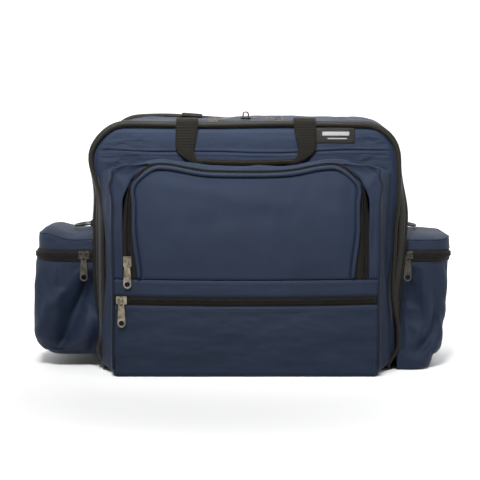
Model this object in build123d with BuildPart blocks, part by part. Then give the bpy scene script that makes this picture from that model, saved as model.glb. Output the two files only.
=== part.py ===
from build123d import *

import os
from math import cos, radians, sin

os.makedirs("parts", exist_ok=True)

# A soft-sided crew bag.  X runs across the bag, the front faces -Y, +Z is up.
# The origin lies on the floor, under the middle of the main compartment.

# --- Driving dimensions, in millimetres -----------------------------------------
# Main compartment
body_width = 350.0
body_height = 284.0
body_depth = 150.0
top_corner = 42.0
bottom_corner = 22.0
wall = 3.0            # padded fabric
panel = 2.5           # unpadded fabric of the pockets
board = 2.0           # stiffener
seam_margin = 4.0     # side panels start this far beyond a rounded corner
piping_radius = 2.5
touch_gap = 0.1       # between pieces sewn side by side
body_gap = 0.3        # between pieces that move apart

# Zippers
chain_width = 6.0
chain_thickness = 2.6
tape_thickness = 1.2
main_tape_width = 6.0
front_tape_width = 5.0
main_chain_setback = 6.0    # middle of the chain behind the front seam
slider_length = 12.0
slider_wall = 1.0
slider_gap = 0.4            # slider to chain
bridge_length = 8.0
bridge_width = 2.6
bridge_bar = 1.2
bridge_window = 2.2
pull_length = 29.0
pull_width = 9.0
pull_head_width = 6.4
pull_thickness = 1.2
pull_rim = 1.4
pull_eye_length = 3.0
pull_hole_radius = 3.0
main_slider_place = 38.0
main_pull_tilt = 6.0

# Organizer pouch on the front
pouch_face_half = 148.0
pouch_base_half = 158.0
pouch_depth = 38.0
pouch_top = 234.0
flap_half = 126.5
flap_bottom = 110.5
flap_top = 224.0
flap_corner = 30.0
flap_piping_radius = 1.8
pocket_zip_height = 86.5
pouch_tape_width = 3.0
arch_slider_height = 130.0
pocket_slider_place = 138.6

# Pockets on the two ends
end_reach = 68.0
end_half_depth = 68.0
end_corner = 25.0
end_floor = 4.0
end_zip_height = 131.5
end_top = 158.0
end_tape_width = 4.0
end_slider_place = 11.0     # middle of the slider out from the side panel
end_setback = 0.8           # pocket and lid off the side panel

# Shoulder strap rings
ring_bar_out = 7.0
ring_bar_height = 163.0
ring_half_width = 15.0
ring_length = 21.0
ring_wire = 1.6
ring_droop = 8.0
strap_width = 25.0
strap_thickness = 1.6

# Carrying handles
webbing_width = 25.0
webbing_thickness = 2.2
handle_spread = 66.0
handle_lift = 2.3           # middle of the folded webbing above the piping
handle_clearance = 0.5
grip_height = 239.8
grip_thickness = 7.5
grip_depth = 8.0
grip_half = 62.0

# Lock loop and label
loop_wire = 0.8
loop_half = 3.0
loop_height = 9.0
loop_setback = 18.0
tab_half = 6.0
tab_depth = 14.0
tab_thickness = 1.95
label_left = 61.0
label_right = 122.6
label_bottom = 260.0
label_top = 277.5
label_thickness = 0.9

# --- Planes and levels that several pieces share --------------------------------
side_x = body_width / 2
seam_y = -body_depth / 2
shell_front = seam_y + body_gap / 2
shell_back = body_depth / 2 - touch_gap * 10
front_back = seam_y - body_gap / 2
low_seam = bottom_corner + seam_margin
high_seam = body_height - top_corner - seam_margin
edge_inset = 2 * piping_radius + touch_gap

front_panel_back = front_back - front_tape_width
front_face = front_panel_back - wall
rear_panel_front = shell_back + 1.0
rear_face = rear_panel_front + wall
front_piping_y = front_panel_back - wall / 2
rear_piping_y = shell_back + piping_radius + touch_gap / 2

main_chain_y = seam_y + main_chain_setback
main_tape_front = main_chain_y + chain_width / 2
main_tape_back = main_tape_front + main_tape_width
tape_outside = (wall - tape_thickness) / 2 - 0.5
tape_middle = tape_outside + tape_thickness / 2
main_chain_z = body_height - tape_middle

pouch_back = front_face - touch_gap
pouch_face = pouch_back - pouch_depth
pouch_inside = pouch_face + panel
pouch_zip_y = pouch_face + panel / 2
flap_to_chain = 2.2
arch_chain_x = flap_half + flap_to_chain + chain_width / 2
arch_frame_inset = flap_to_chain + chain_width + pouch_tape_width + touch_gap
pocket_tape_bottom = pocket_zip_height - chain_width / 2 - pouch_tape_width
slider_closed_side = chain_width / 2 + slider_gap + slider_wall + 0.2
strip_bottom = pocket_zip_height + slider_closed_side + 0.7
strip_top = flap_bottom - 0.5

end_out = side_x + end_reach
end_tape_bottom = end_zip_height - chain_width / 2 - end_tape_width
end_chain_y = -end_half_depth + panel / 2
lid_bottom = end_zip_height + slider_closed_side + 1.1
ring_bar_x = side_x + ring_bar_out


# --- Outlines and shared shapes -------------------------------------------------
def keep(piece, label):
    """Name a finished piece and write it."""
    piece.part.label = label
    export_step(piece.part, f"parts/{label}.step")


def box(low, high):
    """A plain block between two corners."""
    with BuildPart() as piece:
        middle = tuple((a + b) / 2 for a, b in zip(low, high))
        with Locations(middle):
            Box(*[b - a for a, b in zip(low, high)])
    return piece


def body_outline(inset):
    """The rounded outline of the bag's front, in from its outside."""
    half = side_x - inset
    top = body_height - inset
    with BuildSketch() as outline:
        with BuildLine():
            FilletPolyline(
                (-half, inset), (half, inset), (half, top), (-half, top),
                radius=[bottom_corner - inset] * 2 + [top_corner - inset] * 2,
                close=True,
            )
        make_face()
    return outline.sketch


def keep_between(low, high):
    """Cut the open sketch down to a band of heights."""
    with Locations((0, (low + high) / 2)):
        Rectangle(2 * body_width, high - low, mode=Mode.INTERSECT)


def keep_side(side):
    """Cut the open sketch down to its left (-1) or right (+1) half."""
    with Locations((side * body_width / 2, body_height / 2)):
        Rectangle(body_width, 2 * body_height, mode=Mode.INTERSECT)


def hoop(outer, inner, front, back, low, high):
    """A strip that follows the body outline, as deep as front to back."""
    with BuildPart() as piece:
        with BuildSketch(Plane.XZ.offset(-front)):
            add(body_outline(outer))
            add(body_outline(inner), mode=Mode.SUBTRACT)
            keep_between(low, high)
        extrude(amount=front - back)
    return piece


def sheet_panel(inset, front, back):
    """A flat panel with the body's outline."""
    with BuildPart() as piece:
        with BuildSketch(Plane.XZ.offset(-front)):
            add(body_outline(inset))
        extrude(amount=front - back)
    return piece


def cord_on(points, radii, plane, thickness):
    """A round cord along a path of straight runs and arcs, open at both ends."""
    with BuildPart() as piece:
        with BuildLine(plane) as path:
            FilletPolyline(*points, radius=radii)
        with BuildSketch(Plane(origin=path.line @ 0, z_dir=path.line % 0)):
            Circle(thickness)
        sweep(path=path.line)
    return piece


def body_piping(middle_y):
    """The covered cord in the seam round the front or the back."""
    half = side_x - piping_radius
    top = body_height - piping_radius
    start = bottom_corner
    points = [(-half, start), (-half, top), (half, top), (half, start)]
    radius = top_corner - piping_radius
    return cord_on(points, radius, Plane.XZ.offset(-middle_y), piping_radius)


def arch_outline(grow, bottom):
    """The arched edge of the flap, grown outwards, closed by a level bottom."""
    half = flap_half + grow
    top = flap_top + grow
    radius = flap_corner + grow
    with BuildSketch() as outline:
        with BuildLine():
            FilletPolyline((-half, bottom), (-half, top), (half, top), (half, bottom), radius=radius)
            Line((half, bottom), (-half, bottom))
        make_face()
    return outline.sketch


def end_outline(side, inset, start):
    """Plan of an end pocket, in from its outside; its inner corners are square."""
    inner = side * start
    outer = side * (end_out - inset)
    half = end_half_depth - inset
    radius = end_corner - inset
    with BuildSketch() as outline:
        with BuildLine():
            FilletPolyline(
                (inner, -half), (outer, -half), (outer, half), (inner, half),
                radius=[0, radius, radius, 0],
                close=True,
            )
        make_face()
    return outline.sketch


def slider(middle, tape_side, outward, up):
    """A slider on a coil chain, closed on the side that pulls apart, with a bridge for the pull."""
    tape_side, outward, up = Vector(tape_side), Vector(outward), Vector(up)
    travel = tape_side.cross(outward)
    across = up.cross(outward)
    inside = chain_thickness / 2 + slider_gap
    outside = inside + slider_wall
    reach = chain_width / 2 + slider_gap
    slot = tape_thickness / 2 + slider_gap
    with BuildPart() as piece:
        start = Vector(middle) - travel * (slider_length / 2)
        with BuildSketch(Plane(origin=start, x_dir=tape_side, z_dir=travel)):
            with Locations(((slider_wall - slider_closed_side + reach) / 2, 0)):
                Rectangle(slider_closed_side + reach + slider_wall, 2 * outside)
            Rectangle(2 * reach, 2 * inside, mode=Mode.SUBTRACT)
            with Locations((reach + slider_wall / 2, 0)):
                Rectangle(2 * slider_wall, 2 * slot, mode=Mode.SUBTRACT)
        extrude(amount=slider_length)
        ends = piece.edges().filter_by(Axis(middle, outward)).group_by(Axis(middle, tape_side))
        chamfer(ends[0] + ends[-1], 1.4 * slider_wall / 2)
        foot = Vector(middle) + outward * outside - across * (bridge_width / 2)
        with BuildSketch(Plane(origin=foot, x_dir=up, z_dir=across)):
            tall = bridge_window + bridge_bar
            with Locations((0, tall / 2 - 0.1)):
                Rectangle(bridge_length, tall + 0.2)
            with Locations((0, bridge_window / 2)):
                Rectangle(bridge_length - 2 * bridge_bar, bridge_window, mode=Mode.SUBTRACT)
        extrude(amount=bridge_width)
    return piece


def pull_pivot(middle, outward, up):
    """Where a pull's rim turns, in the window of its slider's bridge."""
    rise = chain_thickness / 2 + slider_gap + slider_wall + bridge_window / 2
    drop = bridge_length / 2 - bridge_bar - bridge_window / 2
    return Vector(middle) + Vector(outward) * rise - Vector(up) * drop


def pull(middle, outward, up, tilt=0.0):
    """A flat metal pull, hung by its rim from the slider's bridge."""
    outward, up = Vector(outward), Vector(up)
    away = outward * sin(radians(tilt)) - up * cos(radians(tilt))
    normal = outward * cos(radians(tilt)) + up * sin(radians(tilt))
    pivot = pull_pivot(middle, outward, up)
    half_rim = pull_rim / 2
    end_radius = pull_width / 2
    end_middle = pull_length - half_rim - end_radius
    head_end = half_rim + pull_eye_length + pull_rim
    eye_width = bridge_width + 1.0
    with BuildPart() as piece:
        with BuildSketch(Plane(pivot - normal * (pull_thickness / 2), x_dir=away, z_dir=normal)):
            with Locations(((head_end - half_rim) / 2, 0)):
                Rectangle(head_end + half_rim, pull_head_width)
            with BuildLine():
                Polyline(
                    (head_end - pull_rim, -pull_head_width / 2),
                    (end_middle, -end_radius),
                    (end_middle, end_radius),
                    (head_end - pull_rim, pull_head_width / 2),
                    close=True,
                )
            make_face()
            with Locations((end_middle, 0)):
                Circle(end_radius)
                Circle(pull_hole_radius, mode=Mode.SUBTRACT)
            with Locations((half_rim + pull_eye_length / 2, 0)):
                Rectangle(pull_eye_length, eye_width, mode=Mode.SUBTRACT)
        extrude(amount=pull_thickness)
    return piece


# --- Main compartment -----------------------------------------------------------
# The gusset is a base, two side panels and a top panel sewn end to end.
base_panel = hoop(0, wall, shell_front, shell_back, 0, low_seam)
keep(base_panel, "base_panel")

top_panel = hoop(0, wall, main_tape_back, shell_back, high_seam, body_height)
keep(top_panel, "top_panel")

for side, name in ((-1, "left"), (1, "right")):
    with BuildPart() as side_panel:
        with BuildSketch(Plane.XZ.offset(-main_tape_back)):
            add(body_outline(0))
            add(body_outline(wall), mode=Mode.SUBTRACT)
            keep_between(low_seam + touch_gap, high_seam - touch_gap)
            keep_side(side)
        extrude(amount=main_tape_back - shell_back)
    keep(side_panel, f"side_panel_{name}")

# The zipper that lets the front fall open: a closed chain and its rear tape.
with BuildPart() as main_zipper:
    with BuildSketch(Plane.XZ.offset(-(main_tape_front - chain_width))):
        add(body_outline(tape_middle - chain_thickness / 2))
        add(body_outline(tape_middle + chain_thickness / 2), mode=Mode.SUBTRACT)
        keep_between(low_seam + touch_gap, body_height + chain_thickness)
    extrude(amount=-chain_width)
    with BuildSketch(Plane.XZ.offset(-main_tape_front)):
        add(body_outline(tape_outside))
        add(body_outline(tape_outside + tape_thickness), mode=Mode.SUBTRACT)
        keep_between(low_seam + touch_gap, body_height)
    extrude(amount=-(main_tape_width - touch_gap))
keep(main_zipper, "main_zipper")

rear_panel = sheet_panel(edge_inset, rear_panel_front, rear_face)
keep(rear_panel, "rear_panel")

rear_piping = body_piping(rear_piping_y)
keep(rear_piping, "rear_piping")

rear_board = sheet_panel(edge_inset + board, rear_panel_front - board - touch_gap, rear_panel_front - touch_gap)
keep(rear_board, "rear_board")

base_board = box(
    (-side_x + bottom_corner, shell_front + wall, wall + touch_gap),
    (side_x - bottom_corner, rear_panel_front - board - 1.0, wall + touch_gap + board),
)
keep(base_board, "base_board")

# --- Opening front --------------------------------------------------------------
front_panel = sheet_panel(edge_inset, front_face, front_panel_back)
keep(front_panel, "front_panel")

front_board = sheet_panel(edge_inset + board, front_panel_back + touch_gap, front_panel_back + touch_gap + board)
keep(front_board, "front_board")

front_piping = body_piping(front_piping_y)
keep(front_piping, "front_piping")

front_tape = hoop(
    tape_outside,
    tape_outside + tape_thickness,
    front_piping_y + piping_radius + touch_gap,
    front_back,
    low_seam,
    body_height,
)
keep(front_tape, "front_tape")

label = box(
    (label_left, front_face - touch_gap - label_thickness, label_bottom),
    (label_right, front_face - touch_gap, label_top),
)
keep(label, "label")

# --- Organizer pouch ------------------------------------------------------------
for side, name in ((-1, "left"), (1, "right")):
    with BuildPart() as pouch_side:
        with BuildSketch(Plane.XY):
            with BuildLine():
                Polyline(
                    (side * pouch_base_half, pouch_back),
                    (side * pouch_face_half, pouch_inside + touch_gap),
                    (side * (pouch_face_half - panel), pouch_inside + touch_gap),
                    (side * (pouch_base_half - panel), pouch_back),
                    close=True,
                )
            make_face()
        extrude(amount=pouch_top)
    keep(pouch_side, f"pouch_side_{name}")

for low, name in ((0, "bottom"), (pouch_top - panel, "top")):
    with BuildPart() as pouch_end:
        with BuildSketch(Plane.XY.offset(low)):
            with BuildLine():
                base = pouch_base_half - panel - touch_gap
                face = pouch_face_half - panel - touch_gap
                Polyline(
                    (-base, pouch_back),
                    (-face, pouch_inside + touch_gap),
                    (face, pouch_inside + touch_gap),
                    (base, pouch_back),
                    close=True,
                )
            make_face()
        extrude(amount=panel)
    keep(pouch_end, f"pouch_{name}")

pouch_lower = box((-pouch_face_half, pouch_face, 0), (pouch_face_half, pouch_inside, pocket_tape_bottom))
keep(pouch_lower, "pouch_lower")

pouch_strip = box((-pouch_face_half, pouch_face, strip_bottom), (pouch_face_half, pouch_inside, strip_top))
keep(pouch_strip, "pouch_strip")

pocket_lining = box(
    (touch_gap + panel - pouch_face_half, pouch_inside + 0.2, panel + touch_gap),
    (pouch_face_half - panel - touch_gap, pouch_inside + 1.2, pocket_tape_bottom - 1.0),
)
keep(pocket_lining, "pocket_lining")

for side, name in ((-1, "left"), (1, "right")):
    with BuildPart() as pouch_frame:
        with BuildSketch(Plane.XZ.offset(-pouch_face)):
            with Locations((side * pouch_face_half / 2, (strip_top + touch_gap + pouch_top) / 2)):
                Rectangle(pouch_face_half, pouch_top - strip_top - touch_gap)
            add(arch_outline(arch_frame_inset, strip_top - 1), mode=Mode.SUBTRACT)
        extrude(amount=-panel)
    keep(pouch_frame, f"pouch_frame_{name}")

# The arched zipper's chain and outer tape stay with the pouch.
with BuildPart() as arch_zipper:
    with BuildSketch(Plane.XZ.offset(-(pouch_zip_y - chain_thickness / 2))):
        add(arch_outline(flap_to_chain + chain_width, strip_top + touch_gap))
        add(arch_outline(flap_to_chain, strip_top), mode=Mode.SUBTRACT)
    extrude(amount=-chain_thickness)
    with BuildSketch(Plane.XZ.offset(-(pouch_zip_y - tape_thickness / 2))):
        add(arch_outline(arch_frame_inset - touch_gap, strip_top + touch_gap))
        add(arch_outline(flap_to_chain + chain_width, strip_top), mode=Mode.SUBTRACT)
        keep_between(0, pouch_top)
    extrude(amount=-tape_thickness)
keep(arch_zipper, "arch_zipper")

# The straight zipper of the lower pocket, with its lower tape.
with BuildPart() as pocket_zipper:
    half = pouch_face_half - 1.0
    with Locations((0, pouch_zip_y, pocket_zip_height)):
        Box(2 * half, chain_thickness, chain_width)
    tape_height = pouch_tape_width - touch_gap
    with Locations((0, pouch_zip_y, pocket_zip_height - (chain_width + tape_height) / 2)):
        Box(2 * half, tape_thickness, tape_height)
keep(pocket_zipper, "pocket_zipper")

with BuildPart() as pocket_flap:
    with BuildSketch(Plane.XZ.offset(-pouch_face)):
        add(arch_outline(0, flap_bottom))
    extrude(amount=-panel)
keep(pocket_flap, "pocket_flap")

flap_cord_half = flap_half - flap_piping_radius
flap_cord_top = flap_top - flap_piping_radius
flap_cord_start = flap_bottom + 3.0
flap_piping = cord_on(
    [
        (-flap_cord_half, flap_cord_start),
        (-flap_cord_half, flap_cord_top),
        (flap_cord_half, flap_cord_top),
        (flap_cord_half, flap_cord_start),
    ],
    flap_corner - flap_piping_radius,
    Plane.XZ.offset(-(pouch_face - flap_piping_radius - touch_gap)),
    flap_piping_radius,
)
keep(flap_piping, "flap_piping")


# --- Carrying handles -----------------------------------------------------------
def handle(piping_y, facing, prefix):
    """Two webbing legs, folded over the piping, and the rolled grip between them."""
    pivot_y = piping_y - facing * (piping_radius + touch_gap * 2)
    pivot_z = body_height + handle_lift
    leg_y = piping_y + facing * (piping_radius + handle_clearance + webbing_thickness / 2)
    grip_top = grip_height + grip_thickness / 2
    for side, name in ((-1, "left"), (1, "right")):
        start = side * handle_spread - webbing_width / 2
        with BuildPart() as leg:
            with BuildSketch(Plane.YZ.offset(start)):
                with BuildLine():
                    FilletPolyline(
                        (pivot_y, pivot_z), (leg_y, pivot_z), (leg_y, grip_top + touch_gap),
                        radius=webbing_thickness / 2 + handle_clearance,
                    )
                trace(line_width=webbing_thickness)
                with Locations((pivot_y, pivot_z)):
                    Circle(webbing_thickness / 2)
            extrude(amount=webbing_width)
        keep(leg, f"{prefix}_handle_leg_{name}")
    with BuildPart() as grip:
        with Locations((0, leg_y + facing * webbing_thickness, grip_height)):
            Box(2 * grip_half + webbing_width, grip_depth, grip_thickness)
        fillet(grip.edges().filter_by(Axis.X), grip_thickness * 0.4)
    keep(grip, f"{prefix}_handle_grip")
    with BuildPart() as tabs:
        back = pivot_y - facing * (webbing_thickness / 2 + body_gap)
        reach = webbing_thickness
        low = body_height + touch_gap / 2
        high = pivot_z - webbing_thickness / 2
        with Locations(
            (-handle_spread, back - facing * reach / 2, (low + high) / 2),
            (handle_spread, back - facing * reach / 2, (low + high) / 2),
        ):
            Box(webbing_width, reach, high - low)
    keep(tabs, f"{prefix}_handle_tabs")


handle(front_piping_y, -1, "front")
handle(rear_piping_y, 1, "rear")

# --- Pockets on the two ends ----------------------------------------------------
for side, name in ((-1, "left"), (1, "right")):
    with BuildPart() as end_pocket:
        with BuildSketch(Plane.XY.offset(end_floor)):
            add(end_outline(side, 0, side_x + end_setback))
        extrude(amount=end_tape_bottom - end_floor)
        with BuildSketch(Plane.XY.offset(end_floor + panel)):
            add(end_outline(side, panel, side_x + end_setback + panel))
        extrude(amount=end_tape_bottom - end_floor, mode=Mode.SUBTRACT)
    keep(end_pocket, f"end_pocket_{name}")

    with BuildPart() as end_zipper:
        chain_start = end_zip_height - chain_width / 2
        chain_inset = (panel - chain_thickness) / 2
        zip_start = side_x + end_setback
        with BuildSketch(Plane.XY.offset(chain_start)):
            add(end_outline(side, chain_inset, zip_start))
            add(end_outline(side, chain_inset + chain_thickness, side_x - 1), mode=Mode.SUBTRACT)
        extrude(amount=chain_width)
        with BuildSketch(Plane.XY.offset(end_tape_bottom + touch_gap)):
            add(end_outline(side, (panel - tape_thickness) / 2, zip_start))
            add(end_outline(side, (panel + tape_thickness) / 2, side_x - 1), mode=Mode.SUBTRACT)
        extrude(amount=end_tape_width - touch_gap)
    keep(end_zipper, f"end_zipper_{name}")

    with BuildPart() as end_lid:
        with BuildSketch(Plane.XY.offset(lid_bottom)):
            add(end_outline(side, 0, side_x + end_setback))
        extrude(amount=end_top - lid_bottom)
        with BuildSketch(Plane.XY.offset(lid_bottom)):
            add(end_outline(side, panel, side_x + end_setback + panel))
        extrude(amount=end_top - lid_bottom - wall, mode=Mode.SUBTRACT)
    keep(end_lid, f"end_lid_{name}")

    # A short webbing loop holds the ring's straight bar against the side.
    with BuildPart() as ring_tab:
        with BuildSketch(Plane.XZ.offset(strap_width / 2)):
            inner = ring_wire + slider_gap
            outer = inner + strap_thickness
            root = touch_gap / 2
            with Locations((side * (side_x + (root + ring_bar_out) / 2), ring_bar_height)):
                Rectangle(ring_bar_out - root, 2 * outer)
            with Locations((side * ring_bar_x, ring_bar_height)):
                Circle(outer)
            hollow = ring_bar_out - root - strap_thickness
            with Locations((side * (ring_bar_x - hollow / 2), ring_bar_height)):
                Rectangle(hollow, 2 * inner, mode=Mode.SUBTRACT)
            with Locations((side * ring_bar_x, ring_bar_height)):
                Circle(inner, mode=Mode.SUBTRACT)
        extrude(amount=-strap_width)
    keep(ring_tab, f"ring_tab_{name}")

    with BuildPart() as d_ring:
        droop = radians(ring_droop)
        ring_plane = Plane(
            origin=(side * ring_bar_x, 0, ring_bar_height),
            x_dir=(side * cos(droop), 0, -sin(droop)),
            z_dir=(side * sin(droop), 0, cos(droop)),
        )
        with BuildLine(ring_plane) as ring_path:
            FilletPolyline(
                (0, -ring_half_width),
                (0, ring_half_width),
                (ring_length, ring_half_width),
                (ring_length, -ring_half_width),
                radius=[2 * ring_wire] * 2 + [ring_half_width - touch_gap] * 2,
                close=True,
            )
        with BuildSketch(Plane(origin=ring_path.line @ 0, z_dir=ring_path.line % 0)):
            Circle(ring_wire)
        sweep(path=ring_path.line)
    keep(d_ring, f"d_ring_{name}")

# --- Lock loop on the top -------------------------------------------------------
lock_tab = box(
    (-tab_half, seam_y + loop_setback - tab_depth / 2, body_height + touch_gap / 2),
    (tab_half, seam_y + loop_setback + tab_depth / 2, body_height + touch_gap / 2 + tab_thickness),
)
keep(lock_tab, "lock_tab")

loop_foot = body_height + touch_gap + tab_thickness
lock_loop = cord_on(
    [
        (-loop_half, loop_foot),
        (-loop_half, loop_foot + loop_height),
        (loop_half, loop_foot + loop_height),
        (loop_half, loop_foot),
    ],
    loop_half - touch_gap,
    Plane.XZ.offset(-(seam_y + loop_setback)),
    loop_wire,
)
keep(lock_loop, "lock_loop")

# --- Sliders and pulls ----------------------------------------------------------
front, rear, down, up_dir = (0, -1, 0), (0, 1, 0), (0, 0, -1), (0, 0, 1)
for side, name in ((-1, "left"), (1, "right")):
    outer_end = (side, 0, 0)
    middle = (side * main_slider_place, main_chain_y, main_chain_z)
    keep(slider(middle, rear, up_dir, outer_end), f"main_slider_{name}")
    keep(pull(middle, up_dir, outer_end, main_pull_tilt), f"main_pull_{name}")
    middle = (side * (side_x + end_slider_place), end_chain_y, end_zip_height)
    keep(slider(middle, down, front, up_dir), f"end_slider_{name}")
    keep(pull(middle, front, up_dir), f"end_pull_{name}")

middle = (-arch_chain_x, pouch_zip_y, arch_slider_height)
keep(slider(middle, (-1, 0, 0), front, up_dir), "arch_slider")
keep(pull(middle, front, up_dir), "arch_pull")

middle = (-pocket_slider_place, pouch_zip_y, pocket_zip_height)
keep(slider(middle, down, front, up_dir), "pocket_slider")
keep(pull(middle, front, up_dir), "pocket_pull")
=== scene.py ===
import math

import bmesh
import bpy
import numpy as np
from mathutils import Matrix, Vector, noise


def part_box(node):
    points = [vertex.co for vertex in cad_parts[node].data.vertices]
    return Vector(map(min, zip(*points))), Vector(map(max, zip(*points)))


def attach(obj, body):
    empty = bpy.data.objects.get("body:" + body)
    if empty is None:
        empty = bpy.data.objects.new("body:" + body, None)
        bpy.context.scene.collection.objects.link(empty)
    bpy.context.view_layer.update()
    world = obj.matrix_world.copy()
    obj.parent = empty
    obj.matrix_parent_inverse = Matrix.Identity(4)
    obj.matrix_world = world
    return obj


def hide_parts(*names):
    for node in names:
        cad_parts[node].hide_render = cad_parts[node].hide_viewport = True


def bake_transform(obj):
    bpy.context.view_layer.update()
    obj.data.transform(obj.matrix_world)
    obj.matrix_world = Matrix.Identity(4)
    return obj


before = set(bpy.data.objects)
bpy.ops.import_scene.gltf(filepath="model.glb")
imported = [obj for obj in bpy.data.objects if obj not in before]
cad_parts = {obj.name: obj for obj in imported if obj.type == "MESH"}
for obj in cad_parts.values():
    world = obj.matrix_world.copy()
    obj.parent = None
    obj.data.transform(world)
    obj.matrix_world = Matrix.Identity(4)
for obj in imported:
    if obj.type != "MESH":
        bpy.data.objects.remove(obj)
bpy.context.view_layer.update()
scene = bpy.context.scene

# Studio. A long lens looks slightly down at the bag, which stands on a plain white sweep.
# One large soft light hangs above and in front, and the white room fills the rest.
scene.view_settings.view_transform = "Standard"
eye = bpy.data.objects.new("eye", bpy.data.cameras.new("eye"))
eye.data.lens = 102.0
eye.data.sensor_width = 36.0
eye.data.clip_end = 60.0
eye.location = (-0.0066, -1.621, 0.304)
eye.rotation_euler = (math.radians(90.0 - 5.71), 0.0, 0.0)
scene.collection.objects.link(eye)
scene.camera = eye

room = bpy.data.worlds.new("white_room")
room.use_nodes = True
air, wire = room.node_tree.nodes, room.node_tree.links.new
air["Background"].inputs["Color"].default_value = (1.0, 1.0, 1.0, 1.0)
way, parts, fade = (air.new("ShaderNodeTexCoord"), air.new("ShaderNodeSeparateXYZ"),
                    air.new("ShaderNodeMapRange"))
fade.interpolation_type = "SMOOTHSTEP"
for label, value in (("From Min", -0.75), ("From Max", 0.1), ("To Min", 0.12), ("To Max", 1.3)):
    fade.inputs[label].default_value = value
wire(way.outputs["Generated"], parts.inputs[0])
wire(parts.outputs[1], fade.inputs["Value"])
wire(fade.outputs[0], air["Background"].inputs["Strength"])
scene.world = room

for lamp, place, turn, size, deep, power, fan in (
    ("top_light", (-0.12, -0.62, 0.82), (50.0, 0.0, -10.0), 0.5, 0.25, 2.6, 54.0),
    ("back_light", (0.2, 0.9, 1.3), (-35.0, 0.0, 10.0), 0.9, 0.9, 6.0, 180.0),
):
    light = bpy.data.objects.new(lamp, bpy.data.lights.new(lamp, "AREA"))
    light.data.shape = "RECTANGLE"
    light.data.size = size
    light.data.size_y = deep
    light.visible_camera = False
    light.data.energy = power
    light.data.spread = math.radians(fan)
    light.location = place
    light.rotation_euler = tuple(math.radians(t) for t in turn)
    scene.collection.objects.link(light)

floor_mesh = bpy.data.meshes.new("floor")
floor_mesh.from_pydata(
    [(-20, -6, 0), (20, -6, 0), (20, 40, 0), (-20, 40, 0)], [], [(0, 1, 2, 3)])
white = bpy.data.materials.new("floor_white")
white.use_nodes = True
white.node_tree.nodes["Principled BSDF"].inputs["Base Color"].default_value = (0.93, 0.93, 0.93, 1.0)
white.node_tree.nodes["Principled BSDF"].inputs["Roughness"].default_value = 0.9
wire, grow = white.node_tree.links.new, white.node_tree.nodes.new
away, gap, glow = grow("ShaderNodeTexCoord"), grow("ShaderNodeVectorMath"), grow("ShaderNodeMapRange")
gap.operation = "LENGTH"
glow.interpolation_type = "SMOOTHSTEP"
for label, value in (("From Min", 0.25), ("From Max", 0.6), ("To Min", 0.0), ("To Max", 0.4)):
    glow.inputs[label].default_value = value
wire(away.outputs["Object"], gap.inputs[0])
wire(gap.outputs["Value"], glow.inputs["Value"])
wire(glow.outputs[0], white.node_tree.nodes["Principled BSDF"].inputs["Emission Strength"])
white.node_tree.nodes["Principled BSDF"].inputs["Emission Color"].default_value = (1.0, 1.0, 1.0, 1.0)
floor_mesh.materials.append(white)
floor = bpy.data.objects.new("floor", floor_mesh)
scene.collection.objects.link(floor)


# Gusset. One long strip of navy pack cloth goes right round the bag: bottom, sides and top, with a
# dark lining inside. It is sewn to the back in a piped seam and to the opening zipper in front, it
# swells a little at the top and leans in at the sides where the end pockets pull on it.
def ramp(value, low, high):
    """0 below low, 1 above high, smooth between."""
    t = np.clip((np.asarray(value, float) - low) / (high - low), 0.0, 1.0)
    return t * t * (3.0 - 2.0 * t)


def hollow_at(value, middle, spread):
    """1 at the middle, fading to 0 over the spread."""
    return np.exp(-((np.asarray(value, float) - middle) / spread) ** 2)


def evenly(points, count, closed=False):
    """The same line again with its points spread evenly."""
    p = np.asarray(points, float)
    if closed:
        p = np.vstack([p, p[:1]])
    run = np.r_[0.0, np.cumsum(np.linalg.norm(np.diff(p, axis=0), axis=1))]
    at = np.linspace(0.0, run[-1], count + 1)[:-1] if closed else np.linspace(0.0, run[-1], count)
    return np.stack([np.interp(at, run, p[:, k]) for k in range(p.shape[1])], 1)


def line_of(x, y, z):
    """A line of points from its x, y and z, any of which may be one number."""
    return np.stack(np.broadcast_arrays(x, y, z), 1)


def outline(half, low, high, r_high, r_low, count):
    """A bag outline in x and z, from the bottom middle round by +x, and its outward directions."""
    line = [(0.0, low)]
    for cx, cz, r, turn in (
        (half - r_low, low + r_low, r_low, -90),
        (half - r_high, high - r_high, r_high, 0),
        (r_high - half, high - r_high, r_high, 90),
        (r_low - half, low + r_low, r_low, 180),
    ):
        for k in range(13):
            a = math.radians(turn + 7.5 * k)
            line.append((cx + r * math.cos(a), cz + r * math.sin(a)))
    p = evenly(line, count, closed=True)
    t = np.roll(p, -1, 0) - np.roll(p, 1, 0)
    t /= np.linalg.norm(t, axis=1)[:, None]
    return p, np.stack([t[:, 1], -t[:, 0]], 1)


def rumple(p, size, depth, seed=0.0):
    """Soft hollows and swellings of worn cloth, from -depth to depth, for points in millimetres."""
    flat = np.asarray(p, float).reshape(-1, 3) / size
    made = [noise.fractal(Vector(q) + Vector((seed, -seed, 0.5 * seed)), 0.9, 2.0, 3) for q in flat]
    return depth * np.asarray(made).reshape(np.asarray(p).shape[:-1])


def settle(p):
    """The front edges of the sides lean in, more at the left, where a full end pocket hangs."""
    p = np.array(p, float)
    x, y, z = p[..., 0], p[..., 1], p[..., 2]
    near = ramp(-y, 15.0, 68.0) * ramp(np.abs(x), 138.0, 170.0) * (1.0 - ramp(np.abs(x), 178.0, 214.0))
    left = 10.5 * ramp(z, 8.0, 50.0) * (1.0 - ramp(z, 178.0, 240.0)) - 3.0 * hollow_at(z, 244.0, 24.0)
    right = 5.0 * ramp(z, 40.0, 85.0) * (1.0 - ramp(z, 92.0, 150.0)) - 1.5 * ramp(z, 150.0, 200.0) * (
        1.0 - ramp(z, 220.0, 260.0))
    p[..., 0] = x + near * np.where(x < 0.0, left, -right)
    return p


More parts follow.
